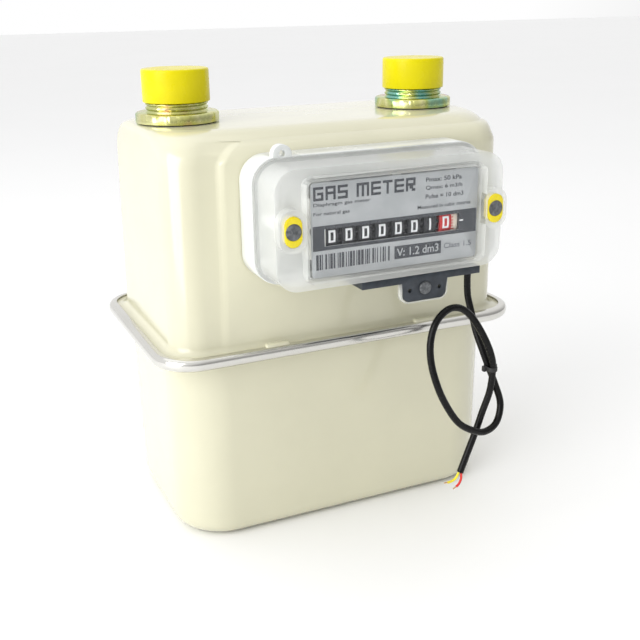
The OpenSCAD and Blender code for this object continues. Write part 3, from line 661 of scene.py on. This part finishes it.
# ------------------------------------------------------------------ case
# The two locating pads: their distance from the middle, half width, front, back, foot and top.
PAD_OFFSET, PAD_HALF = 40.1 * MM, 6.1 * MM
PAD_FRONT, PAD_BACK, PAD_FOOT, PAD_TOP = -60.4 * MM, -56.5 * MM, 99.6 * MM, 102.3 * MM


class GASMETER_OT_case(Operator):
    """Finish the two drawn shells, the clamp band, the seam gasket and the locating pads"""

    bl_idname = "gasmeter.case"
    bl_label = "Case"

    def execute(self, context):
        refined("upper_casing", "upper_shell", FINISHES["enamel"], degrees=30)
        refined("lower_casing", "lower_shell", FINISHES["enamel"], degrees=30)
        refined("seam_band", "clamp_band", FINISHES["band"], degrees=40)
        refined("seam_gasket", "lip_gasket", FINISHES["rubber"])
        for side, word in ((-1, "left"), (1, "right")):
            middle = side * PAD_OFFSET
            pad = box_piece(word + "_locating_pad", (middle - PAD_HALF, PAD_FRONT, PAD_FOOT),
                            (middle + PAD_HALF, PAD_BACK, PAD_TOP))
            live(pad, "BEVEL", width=1.1 * MM, segments=4, limit_method="ANGLE")
            smooth(finish_of(pad, FINISHES["enamel"]), 60)
            place(pad, "case")
        return {"FINISHED"}


class GASMETER_OT_connections(Operator):
    """Finish the threaded connectors, their washers, ring nuts and caps"""

    bl_idname = "gasmeter.connections"
    bl_label = "Connections"

    def execute(self, context):
        for end in ("inlet", "outlet"):
            refined(end + "_connector", end + "_neck", FINISHES["zinc"],
                    bevel=0.15 * MM)
            refined(end + "_cap", end + "_cover_cap", FINISHES["cap"],
                    body=end + "_cap", bevel=0.25 * MM)
        refined("connector_seals", "neck_washers", FINISHES["rubber"])
        refined("connector_locknuts", "ring_nuts", FINISHES["zinc"],
                bevel=0.2 * MM)
        return {"FINISHED"}


# ------------------------------------------------------------------ index
WINDOW_DEPTH = 2.1 * MM     # the cover's faces this near its front make the window
WINDOW_MARGIN = 3 * MM      # how far the window reaches past the label plate


class GASMETER_OT_index(Operator):
    """Finish the white housing, the clear cover, the seals and their screws"""

    bl_idname = "gasmeter.index"
    bl_label = "Index housing"

    def execute(self, context):
        refined("index_base", "index_housing", FINISHES["shell"],
                bevel=0.5 * MM, steps=3)
        refined("index_gasket", "housing_gasket", FINISHES["rubber"])
        refined("index_screws", "housing_screws", FINISHES["steel"],
                bevel=0.2 * MM)
        cover = refined("index_cover", "clear_cover", FINISHES["haze"],
                        bevel=0.7 * MM, steps=3)
        cover.data.materials.append(FINISHES["clear"])
        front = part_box("index_cover")[0].y + WINDOW_DEPTH
        low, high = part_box("index_plate")
        for face in cover.data.polygons:
            if (face.center.y < front
                    and -WINDOW_MARGIN < face.center.x - low.x
                    and face.center.x - high.x < WINDOW_MARGIN
                    and -WINDOW_MARGIN < face.center.z - low.z
                    and face.center.z - high.z < WINDOW_MARGIN):
                face.material_index = 1
        refined("cover_screws", "seal_screws", FINISHES["steel"],
                bevel=0.2 * MM)
        refined("seal_cups", "yellow_cups", FINISHES["seal"], bevel=0.5 * MM,
                steps=3)
        refined("seal_plugs", "lead_seals", FINISHES["lead"], bevel=0.5 * MM,
                steps=3)
        return {"FINISHED"}


# ------------------------------------------------------------------ print
SAME_CORNER = 0.01 * MM
STRAIGHT_ENOUGH = math.radians(1)
# Each sign is a grid: odd rows and columns are one stroke wide, even ones fill the rest.
FIGURES = {
    "0": ("###", "#.#", "#.#", "#.#", "###"),
    "1": ("#", "#", "#", "#", "#"),
    "2": ("###", "..#", "###", "#..", "###"),
    "3": ("###", "..#", "###", "..#", "###"),
    "4": ("#.#", "#.#", "###", "..#", "..#"),
    "5": ("###", "#..", "###", "..#", "###"),
    "6": ("###", "#..", "###", "#.#", "###"),
    "7": ("###", "..#", "..#", "..#", "..#"),
    "8": ("###", "#.#", "###", "#.#", "###"),
    "9": ("###", "#.#", "###", "..#", "###"),
}
LETTERS = {
    "A": ("#####", "#...#", "#####", "#...#", "#...#"),
    "E": ("#####", "#....", "#####", "#....", "#####"),
    "G": ("#####", "#....", "#.###", "#...#", "#####"),
    "M": ("#####", "#.#.#", "#.#.#", "#.#.#", "#.#.#"),
    "R": ("#####", "#...#", "#####", "#.##.", "#..##"),
    "S": ("#####", "#....", "#####", "....#", "#####"),
    "T": ("#####", "..#..", "..#..", "..#..", "..#.."),
}


LETTER_SHARES = {" ": 2.2, "M": 5.8}    # how wide these are where other letters are 4.6
USUAL_SHARE = 4.6
GAP_SHARE = 0.9
TITLE_STROKE = 1.12 * MM
TITLE_ROUNDING = 0.16 * MM
SMALL_WEIGHT = 0.012        # how much the strokes of small lettering are thickened

PLATE_LOW, PLATE_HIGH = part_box("index_plate")
PRINT_GAP = 0.05 * MM       # print stands this far off the plate
INK_THICKNESS = 0.4 * PRINT_GAP
PRINT_Y = PLATE_LOW.y - PRINT_GAP

# Lettering in millimetres from the plate's top left: left edge, middle, height and width.
TITLE_AT = (0.9, 4.6, 5.9, 49)
KIND_AT = (0.9, 9.5, 1.9, 27)
USE_AT = (0.9, 13.4, 1.9, 17)
FACTS = (
    ("Pmax: 50 kPa", (55.2, 3.3, 2.0, 18.4)),
    ("Qmax: 6 m3/h", (55.2, 7.0, 2.0, 18.8)),
    ("Pulse = 10 dm3", (55.2, 10.8, 2.0, 19.5)),
    ("Measured in cubic metres", (51.2, 15.3, 1.7, 27.5)),
)
# The dark band and the slot in it, from the drums' middle height and the outer drums' sides.
BAND_HALF = 5.4 * MM
BAND_INSET = 0.4 * MM
SLOT_HALF = 3.8 * MM
SLOT_LEFT, SLOT_RIGHT = 1.2 * MM, 2.6 * MM
# Under the band: a made-up row of bars, a dark block with the volume, and the class. Their
# places are from the plate's left edge, or down from the band.
BARS = "31211322113123112132121131221131321121132112131221132"
BARS_LEFT, BARS_WIDTH = 1.8 * MM, 35.6 * MM
BARS_TOP, BARS_FOOT = 1.7 * MM, 8.4 * MM
BLOCK_LEFT, BLOCK_RIGHT = 39.8 * MM, 63.7 * MM
BLOCK_TRIM_TOP, BLOCK_TRIM_FOOT = 0.6 * MM, 0.2 * MM
VOLUME_LEFT, VOLUME_DROP, VOLUME_HEIGHT, VOLUME_WIDTH = 41 * MM, 0.2 * MM, 3.7 * MM, 21.4 * MM
CLASS_LEFT, CLASS_HEIGHT, CLASS_WIDTH = 65.2 * MM, 2.5 * MM, 14.5 * MM
# The pale reading mark at the end of the slot.
MARK_LEFT, MARK_RIGHT, MARK_RISE, MARK_HALF = 73.1 * MM, 75 * MM, 0.5 * MM, 0.3 * MM
# Two dark strips above the plate, painted shade that stands for the shaded gaps at the cover's
# top: left edge and length of each, and their foot and top.
GAP_SHADE_STRIPS = ((9.0 * MM, 29.5 * MM), (43.0 * MM, 27.5 * MM))
GAP_SHADE_FOOT, GAP_SHADE_TOP = 0.25 * MM, 0.6 * MM
# The blind that closes the slot beside the last drum.
BLIND_LEFT, BLIND_OVERLAP = 72.9 * MM, 0.3 * MM


def line_place(index, count, length, stroke):
    """Where grid line index lies: odd cells are one stroke wide, even cells share the rest."""
    strokes = (index + 1) // 2
    gaps = index // 2
    gap = (length - (count + 1) // 2 * stroke) / max((count - 1) // 2, 1)
    return strokes * stroke + gaps * gap


def block_glyph(rows, width, height, stroke, rounding):
    """A flat block sign about the origin, cut from a grid."""
    deselect()
    columns, lines = len(rows[0]), len(rows)
    bpy.ops.mesh.primitive_grid_add(x_subdivisions=columns, y_subdivisions=lines, size=1)
    obj = bpy.context.object

    def is_gap(face):
        middle = face.calc_center_median()
        return rows[int((0.5 - middle.y) * lines)][int((middle.x + 0.5) * columns)] == "."

    edit(obj)
    select_where(obj, is_gap)
    bpy.ops.mesh.delete(type="FACE")
    bpy.ops.object.mode_set(mode="OBJECT")
    for v in obj.data.vertices:
        column, line = round((v.co.x + 0.5) * columns), round((v.co.y + 0.5) * lines)
        v.co.x = line_place(column, columns, width, stroke) - width / 2
        v.co.y = line_place(line, lines, height, stroke) - height / 2
    edit(obj, "VERT")
    bpy.ops.mesh.select_all(action="SELECT")
    bpy.ops.mesh.dissolve_limited(angle_limit=STRAIGHT_ENOUGH)
    bpy.ops.mesh.select_all(action="SELECT")
    bpy.ops.mesh.bevel(offset=rounding, offset_type="OFFSET", segments=3, affect="VERTICES")
    bpy.ops.mesh.select_all(action="SELECT")
    bpy.ops.mesh.remove_doubles(threshold=SAME_CORNER)
    bpy.ops.object.mode_set(mode="OBJECT")
    return obj


def block_words(name, text, left, middle, height, width):
    """Large block lettering that stands on the label."""
    unknown = set(text) - set(LETTERS) - {" "}
    if unknown:
        raise RuntimeError(f"the title has no shape for {sorted(unknown)}")
    shares = [LETTER_SHARES.get(letter, USUAL_SHARE) for letter in text]
    unit = width / (sum(shares) + GAP_SHARE * (len(text) - 1))
    at, signs = left, []
    for letter, share in zip(text, shares):
        wide = unit * share
        if letter != " ":
            sign = block_glyph(LETTERS[letter], wide, height, TITLE_STROKE, TITLE_ROUNDING)
            for v in sign.data.vertices:
                v.co = (at + wide / 2 + v.co.x, PRINT_Y, middle + v.co.y)
            signs.append(sign)
        at += wide + GAP_SHARE * unit
    return joined(name, signs)


def words(name, text, left, middle, height, width, y=PRINT_Y):
    """Small flat lettering that stands on the label, fitted to a height and a width."""
    deselect()
    bpy.ops.object.text_add()
    obj = bpy.context.object
    obj.data.body = text
    obj.data.size = 1.0
    obj.data.offset = SMALL_WEIGHT
    obj.data.align_x = "LEFT"
    pick(obj)
    bpy.ops.object.convert(target="MESH")
    obj = named(name)
    xs = [v.co.x for v in obj.data.vertices]
    ys = [v.co.y for v in obj.data.vertices]
    wide = width / (max(xs) - min(xs))
    tall = height / (max(ys) - min(ys))
    for v in obj.data.vertices:
        v.co = (left + (v.co.x - min(xs)) * wide, y,
                middle + (v.co.y - (min(ys) + max(ys)) / 2) * tall)
    return obj


def on_plate(at):
    """The metre values of a row of lettering that is given from the plate's top left."""
    left, down, height, width = (value * MM for value in at)
    return PLATE_LOW.x + left, PLATE_HIGH.z - down, height, width


def patch(name, left, right, bottom, top):
    """A printed rectangle on the label."""
    return box_piece(name, (left, PRINT_Y - INK_THICKNESS, bottom), (right, PRINT_Y, top))


class GASMETER_OT_label(Operator):
    """Print the label with its band, bars and generic words"""

    bl_idname = "gasmeter.label"
    bl_label = "Label"

    def bars(self, left, low, top):
        """A made-up row of dark bars of one to three steps, with gaps between them."""
        step = BARS_WIDTH / sum(int(width) for width in BARS)
        at, bars = left, []
        for i, width in enumerate(BARS):
            wide = int(width) * step
            if i % 2 == 0:
                bars.append(patch("bar", at, at + wide, low, top))
            at += wide
        return bars

    def dark_print(self, look, slot, low, top):
        """The band round the slot, the lettering, the bars and the block, as one piece."""
        left, right, bottom, upper = slot
        edge_left, edge_right = PLATE_LOW.x + BAND_INSET, PLATE_HIGH.x - BAND_INSET
        rim = BAND_HALF - SLOT_HALF
        ink = [
            patch("band", edge_left, edge_right, upper, upper + rim),
            patch("band", edge_left, edge_right, bottom - rim, bottom),
            patch("band", edge_left, left, bottom, upper),
            patch("band", right, edge_right, bottom, upper),
            block_words("title", look.title, *on_plate(TITLE_AT)),
            words("line", look.kind, *on_plate(KIND_AT)),
            words("line", look.use, *on_plate(USE_AT)),
        ]
        ink += [words("fact", fact, *on_plate(at)) for fact, at in FACTS]
        ink += self.bars(PLATE_LOW.x + BARS_LEFT, low, top)
        ink.append(patch("plate_block", PLATE_LOW.x + BLOCK_LEFT, PLATE_LOW.x + BLOCK_RIGHT,
                         low + BLOCK_TRIM_FOOT, top - BLOCK_TRIM_TOP))
        place(finish_of(joined("label_print", ink), FINISHES["ink"]), "case")

    def execute(self, context):
        refined("index_plate", "label_plate", FINISHES["label"])
        first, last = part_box("drum_1"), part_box("drum_8")
        middle = (first[0].z + first[1].z) / 2
        slot_right = last[1].x + SLOT_RIGHT
        slot = (first[0].x - SLOT_LEFT, slot_right, middle - SLOT_HALF, middle + SLOT_HALF)
        low, top = middle - BAND_HALF - BARS_FOOT, middle - BAND_HALF - BARS_TOP
        self.dark_print(context.scene.gas_meter_look, slot, low, top)

        volume = words("label_pale_print", "V: 1.2 dm3", PLATE_LOW.x + VOLUME_LEFT,
                       (low + top) / 2 - VOLUME_DROP, VOLUME_HEIGHT, VOLUME_WIDTH,
                       y=PRINT_Y - PRINT_GAP)
        place(finish_of(volume, FINISHES["label"]), "case")
        grade = words("grade_mark", "Class 1.5", PLATE_LOW.x + CLASS_LEFT, (low + top) / 2,
                      CLASS_HEIGHT, CLASS_WIDTH)
        place(finish_of(grade, FINISHES["ink_grey"]), "case")
        mark_z = middle + MARK_RISE
        mark = box_piece(
            "reading_mark",
            (PLATE_LOW.x + MARK_LEFT, PLATE_LOW.y - 3 * PRINT_GAP, mark_z - MARK_HALF),
            (PLATE_LOW.x + MARK_RIGHT, PLATE_LOW.y, mark_z + MARK_HALF),
        )
        place(finish_of(mark, FINISHES["figure"]), "case")

        # Painted shade: two strips in the near-black label finish, put where the gaps at the
        # cover's top lie in shade.
        for at, length in GAP_SHADE_STRIPS:
            left = PLATE_LOW.x + at
            gap_shade = box_piece("label_rail", (left, PLATE_LOW.y, PLATE_HIGH.z + GAP_SHADE_FOOT),
                             (left + length, PLATE_HIGH.y, PLATE_HIGH.z + GAP_SHADE_TOP))
            live(gap_shade, "BEVEL", width=0.1 * MM, segments=2)
            place(finish_of(gap_shade, FINISHES["ink"]), "case")
        blind = box_piece("slot_blind", (PLATE_LOW.x + BLIND_LEFT, PRINT_Y, slot[2]),
                          (slot_right + BLIND_OVERLAP, PLATE_HIGH.y, slot[3]))
        live(blind, "BEVEL", width=0.08 * MM, segments=2)
        place(finish_of(blind, FINISHES["ink"]), "case")
        return {"FINISHED"}


# ------------------------------------------------------------------ counter
DRUM_RIM_WIDTH = 6.0 * MM
FIGURE_RADIUS = 11.03 * MM      # figures stand this far from a drum's axis
FIGURE_ROUNDING = 0.22 * MM
FIGURE_SHARE = 0.6              # a figure's width over its height
FIGURE_CUTS = 10                # flat strips that a figure is bent in
FIGURE_ANGLE = 360 / 10
RING_START, RING_WIDTH = 6.05 * MM, 3.0 * MM
RING_RADIUS, RING_INSET, RING_THICKNESS = 10.9 * MM, 1.2 * MM, 0.9 * MM
TICKS, LONG_TICK_EVERY = 50, 5
TICK_LENGTH, LONG_TICK_LENGTH = 0.9 * MM, 1.5 * MM
TICK_HALF, TICK_FOOT, TICK_TOP = 0.22 * MM, 10.85 * MM, 10.98 * MM


def wrapped(obj, radius, turn, centre, height):
    """Bends a flat figure round a drum, turned up from the front by the given angle."""
    edit(obj)
    for step in range(1 - FIGURE_CUTS // 2, FIGURE_CUTS // 2):
        bpy.ops.mesh.select_all(action="SELECT")
        bpy.ops.mesh.bisect(plane_co=(0, step * height / FIGURE_CUTS, 0), plane_no=(0, 1, 0))
    bpy.ops.object.mode_set(mode="OBJECT")
    for v in obj.data.vertices:
        angle = turn + v.co.y / radius
        v.co = (centre.x + v.co.x, centre.y - radius * math.cos(angle),
                centre.z + radius * math.sin(angle))
    return obj


class GASMETER_OT_counter(Operator):
    """Finish the figure drums with their figures, the pinions, the frame and the drive"""

    bl_idname = "gasmeter.counter"
    bl_label = "Counter"

    def ticks(self):
        """The cream tick ring on the right of the red drum, with its red ticks."""
        low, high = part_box("drum_8")
        y, z = (low.y + high.y) / 2, (low.z + high.z) / 2
        start = low.x + RING_START
        ring = rod_piece("tick_ring", (start + RING_WIDTH / 2, y, z), RING_RADIUS, RING_WIDTH,
                         vertices=96)
        edit(ring)
        select_where(ring, lambda face: abs(face.normal.x) > 0.9)
        bpy.ops.mesh.inset(thickness=RING_INSET)
        bpy.ops.mesh.delete(type="FACE")
        bpy.ops.object.mode_set(mode="OBJECT")
        live(ring, "SOLIDIFY", thickness=RING_THICKNESS, offset=-1)
        smooth(finish_of(ring, FINISHES["tick"]))
        place(ring, "drum_8")
        ticks = []
        for k in range(TICKS):
            length = TICK_LENGTH if k % LONG_TICK_EVERY else LONG_TICK_LENGTH
            tick = box_piece("tick", (start, -TICK_HALF, TICK_FOOT),
                             (start + length, TICK_HALF, TICK_TOP))
            angle = math.radians(360 / TICKS * k)
            for v in tick.data.vertices:
                v.co = (v.co.x, y + v.co.y * math.cos(angle) - v.co.z * math.sin(angle),
                        z + v.co.y * math.sin(angle) + v.co.z * math.cos(angle))
            ticks.append(tick)
        place(finish_of(joined("red_ticks", ticks), FINISHES["drum_red"]), "drum_8")

    def figures(self, look, node, shown):
        """The ten figures of one drum, turned so that the shown one faces the front."""
        low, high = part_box(node)
        centre = Vector((low.x + DRUM_RIM_WIDTH / 2, (low.y + high.y) / 2,
                         (low.z + high.z) / 2))
        tall, stroke = look.figure_height, look.figure_stroke
        figures = []
        for k in range(10):
            wide = stroke if k == 1 else tall * FIGURE_SHARE
            flat = block_glyph(FIGURES[str(k)], wide, tall, stroke, FIGURE_ROUNDING)
            turn = math.radians(FIGURE_ANGLE * (k - shown))
            figures.append(wrapped(flat, FIGURE_RADIUS, turn, centre, tall))
        return finish_of(joined(node.replace("drum", "figures"), figures), FINISHES["figure"])

    def execute(self, context):
        look = context.scene.gas_meter_look
        if len(look.reading) != len(DRUMS) or not look.reading.isdecimal():
            raise RuntimeError(f"the reading needs {len(DRUMS)} figures, one for each drum")
        for node, shown in zip(DRUMS, look.reading):
            paint = "drum_red" if node == DRUMS[-1] else "drum"
            refined(node, node.replace("drum", "figure_drum"), FINISHES[paint],
                    body=node, bevel=0.12 * MM)
            place(self.figures(look, node, int(shown)), node)
        self.ticks()
        for node in PINIONS:
            refined(node, node.replace("pinion", "carry_pinion"), FINISHES["gear"],
                    body=node)
        refined("counter_frame", "drum_frame", FINISHES["gear"], bevel=0.2 * MM)
        refined("drum_shaft", "drum_axle", FINISHES["steel"])
        refined("pinion_shaft", "pinion_axle", FINISHES["steel"])
        refined("index_shaft", "drive_shaft", FINISHES["steel"],
                body="index_shaft")
        refined("shaft_gland", "drive_gland", FINISHES["rubber"])
        refined("pulse_magnet", "drum_magnet", FINISHES["steel"],
                body="drum_8")
        return {"FINISHED"}


# ------------------------------------------------------------------ pulse module and unit
# The clear rim round the module's hanging tab.
TAB_SHIFT = 1.3 * MM        # the tab's middle from the module's
TAB_HALF = 11.4 * MM        # half the tab's width
RIM_DROP = 2.5 * MM         # from the module's top to the rim's
RIM_ROOM = 0.9 * MM         # from the tab to the rim's outside
RIM_FRONT, RIM_BACK = 0.2 * MM, 3.4 * MM
RIM_CORNER = 4.0 * MM
RIM_THICKNESS = 0.7 * MM


class GASMETER_OT_pulse(Operator):
    """Finish the pulse module, its switch and the clear rim of its tab"""

    bl_idname = "gasmeter.pulse"
    bl_label = "Pulse module"

    def guard(self):
        """The clear rim that wraps the hanging tab."""
        low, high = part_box("pulse_module")
        middle = (low.x + high.x) / 2 + TAB_SHIFT
        reach = TAB_HALF + RIM_ROOM
        rim = box_piece("tab_rim", (middle - reach, low.y + RIM_FRONT, low.z - RIM_ROOM),
                        (middle + reach, low.y + RIM_BACK, high.z - RIM_DROP))
        edit(rim, "EDGE")
        select_where(rim, lambda edge: all(v.co.z < low.z for v in edge.verts)
                     and abs(edge.verts[0].co.y - edge.verts[1].co.y) > MM, "edges")
        bpy.ops.mesh.bevel(offset=RIM_CORNER, segments=8)
        bpy.ops.mesh.select_mode(type="FACE")
        select_where(rim, lambda face: abs(face.normal.y) > 0.9 or face.normal.z > 0.9)
        bpy.ops.mesh.delete(type="FACE")
        bpy.ops.object.mode_set(mode="OBJECT")
        live(rim, "SOLIDIFY", thickness=RIM_THICKNESS, offset=-1)
        live(rim, "BEVEL", width=0.15 * MM, segments=2, limit_method="ANGLE")
        smooth(finish_of(rim, FINISHES["haze"]))
        place(rim, "case")

    def execute(self, context):
        refined("pulse_module", "pulse_box", FINISHES["module"],
                bevel=0.4 * MM, steps=3)
        refined("reed_switch", "reed_tube", FINISHES["glass"])
        self.guard()
        return {"FINISHED"}


class GASMETER_OT_unit(Operator):
    """Finish the measuring unit inside the case"""

    bl_idname = "gasmeter.unit"
    bl_label = "Measuring unit"

    def execute(self, context):
        still = [
            ("centre_body", "chamber_body", "moulding", "unit_plastic"),
            ("front_chamber_cover", "front_chamber_lid", "moulding", "unit_plastic"),
            ("rear_chamber_cover", "rear_chamber_lid", "moulding", "unit_plastic"),
            ("front_diaphragm", "front_membrane", "membrane", "diaphragm_rubber"),
            ("rear_diaphragm", "rear_membrane", "membrane", "diaphragm_rubber"),
            ("valve_table", "port_plate", "moulding", "unit_plastic"),
            ("outlet_duct", "riser_duct", "moulding", "unit_plastic"),
        ]
        for node, name, paint, slot in still:
            refined(node, name, FINISHES[paint], bevel=0.3 * MM)
        moving = [
            ("pan", "disc", "steel", "plain_steel"),
            ("flag", "flag_rod", "steel", "plain_steel"),
            ("valve", "slide", "valve", "valve_black"),
        ]
        for end in ("front", "rear"):
            for kind, word, paint, slot in moving:
                node = f"{end}_{kind}"
                refined(node, f"{end}_{word}", FINISHES[paint], body=node,
                        bevel=0.2 * MM)
        refined("crank", "crank_shaft", FINISHES["gear"], body="crank")
        return {"FINISHED"}


class GASMETER_PT_panel(Panel):
    """Shows the gas meter's building steps and their settings"""

    bl_idname = "GASMETER_PT_panel"
    bl_label = "Gas Meter"
    bl_space_type = "VIEW_3D"
    bl_region_type = "UI"
    bl_category = "Gas Meter"

    def draw(self, context):
        layout = self.layout
        for operator in OPERATORS:
            layout.operator(operator.bl_idname)
        for group in GROUPS:
            settings = getattr(context.scene, group)
            for key in settings.__annotations__:
                layout.prop(settings, key)


OPERATORS = [
    GASMETER_OT_stage, GASMETER_OT_cord, GASMETER_OT_case, GASMETER_OT_connections,
    GASMETER_OT_index, GASMETER_OT_label, GASMETER_OT_counter, GASMETER_OT_pulse,
    GASMETER_OT_unit,
]
GROUPS = {
    "gas_meter_look": GasMeterLook,
    "gas_meter_cord": GasMeterCord,
    "gas_meter_stage": GasMeterStage,
}


def register():
    for group in GROUPS.values():
        bpy.utils.register_class(group)
    for name, group in GROUPS.items():
        setattr(bpy.types.Scene, name, PointerProperty(type=group))
    for operator in OPERATORS:
        bpy.utils.register_class(operator)
    bpy.utils.register_class(GASMETER_PT_panel)


def unregister():
    bpy.utils.unregister_class(GASMETER_PT_panel)
    for operator in reversed(OPERATORS):
        bpy.utils.unregister_class(operator)
    for name in GROUPS:
        delattr(bpy.types.Scene, name)
    for group in GROUPS.values():
        bpy.utils.unregister_class(group)


def main():
    register()
    bpy.ops.gasmeter.stage()
    bpy.ops.gasmeter.cord()
    bpy.ops.gasmeter.case()
    bpy.ops.gasmeter.connections()
    bpy.ops.gasmeter.index()
    bpy.ops.gasmeter.label()
    bpy.ops.gasmeter.counter()
    bpy.ops.gasmeter.pulse()
    bpy.ops.gasmeter.unit()


if __name__ == "__main__":
    main()
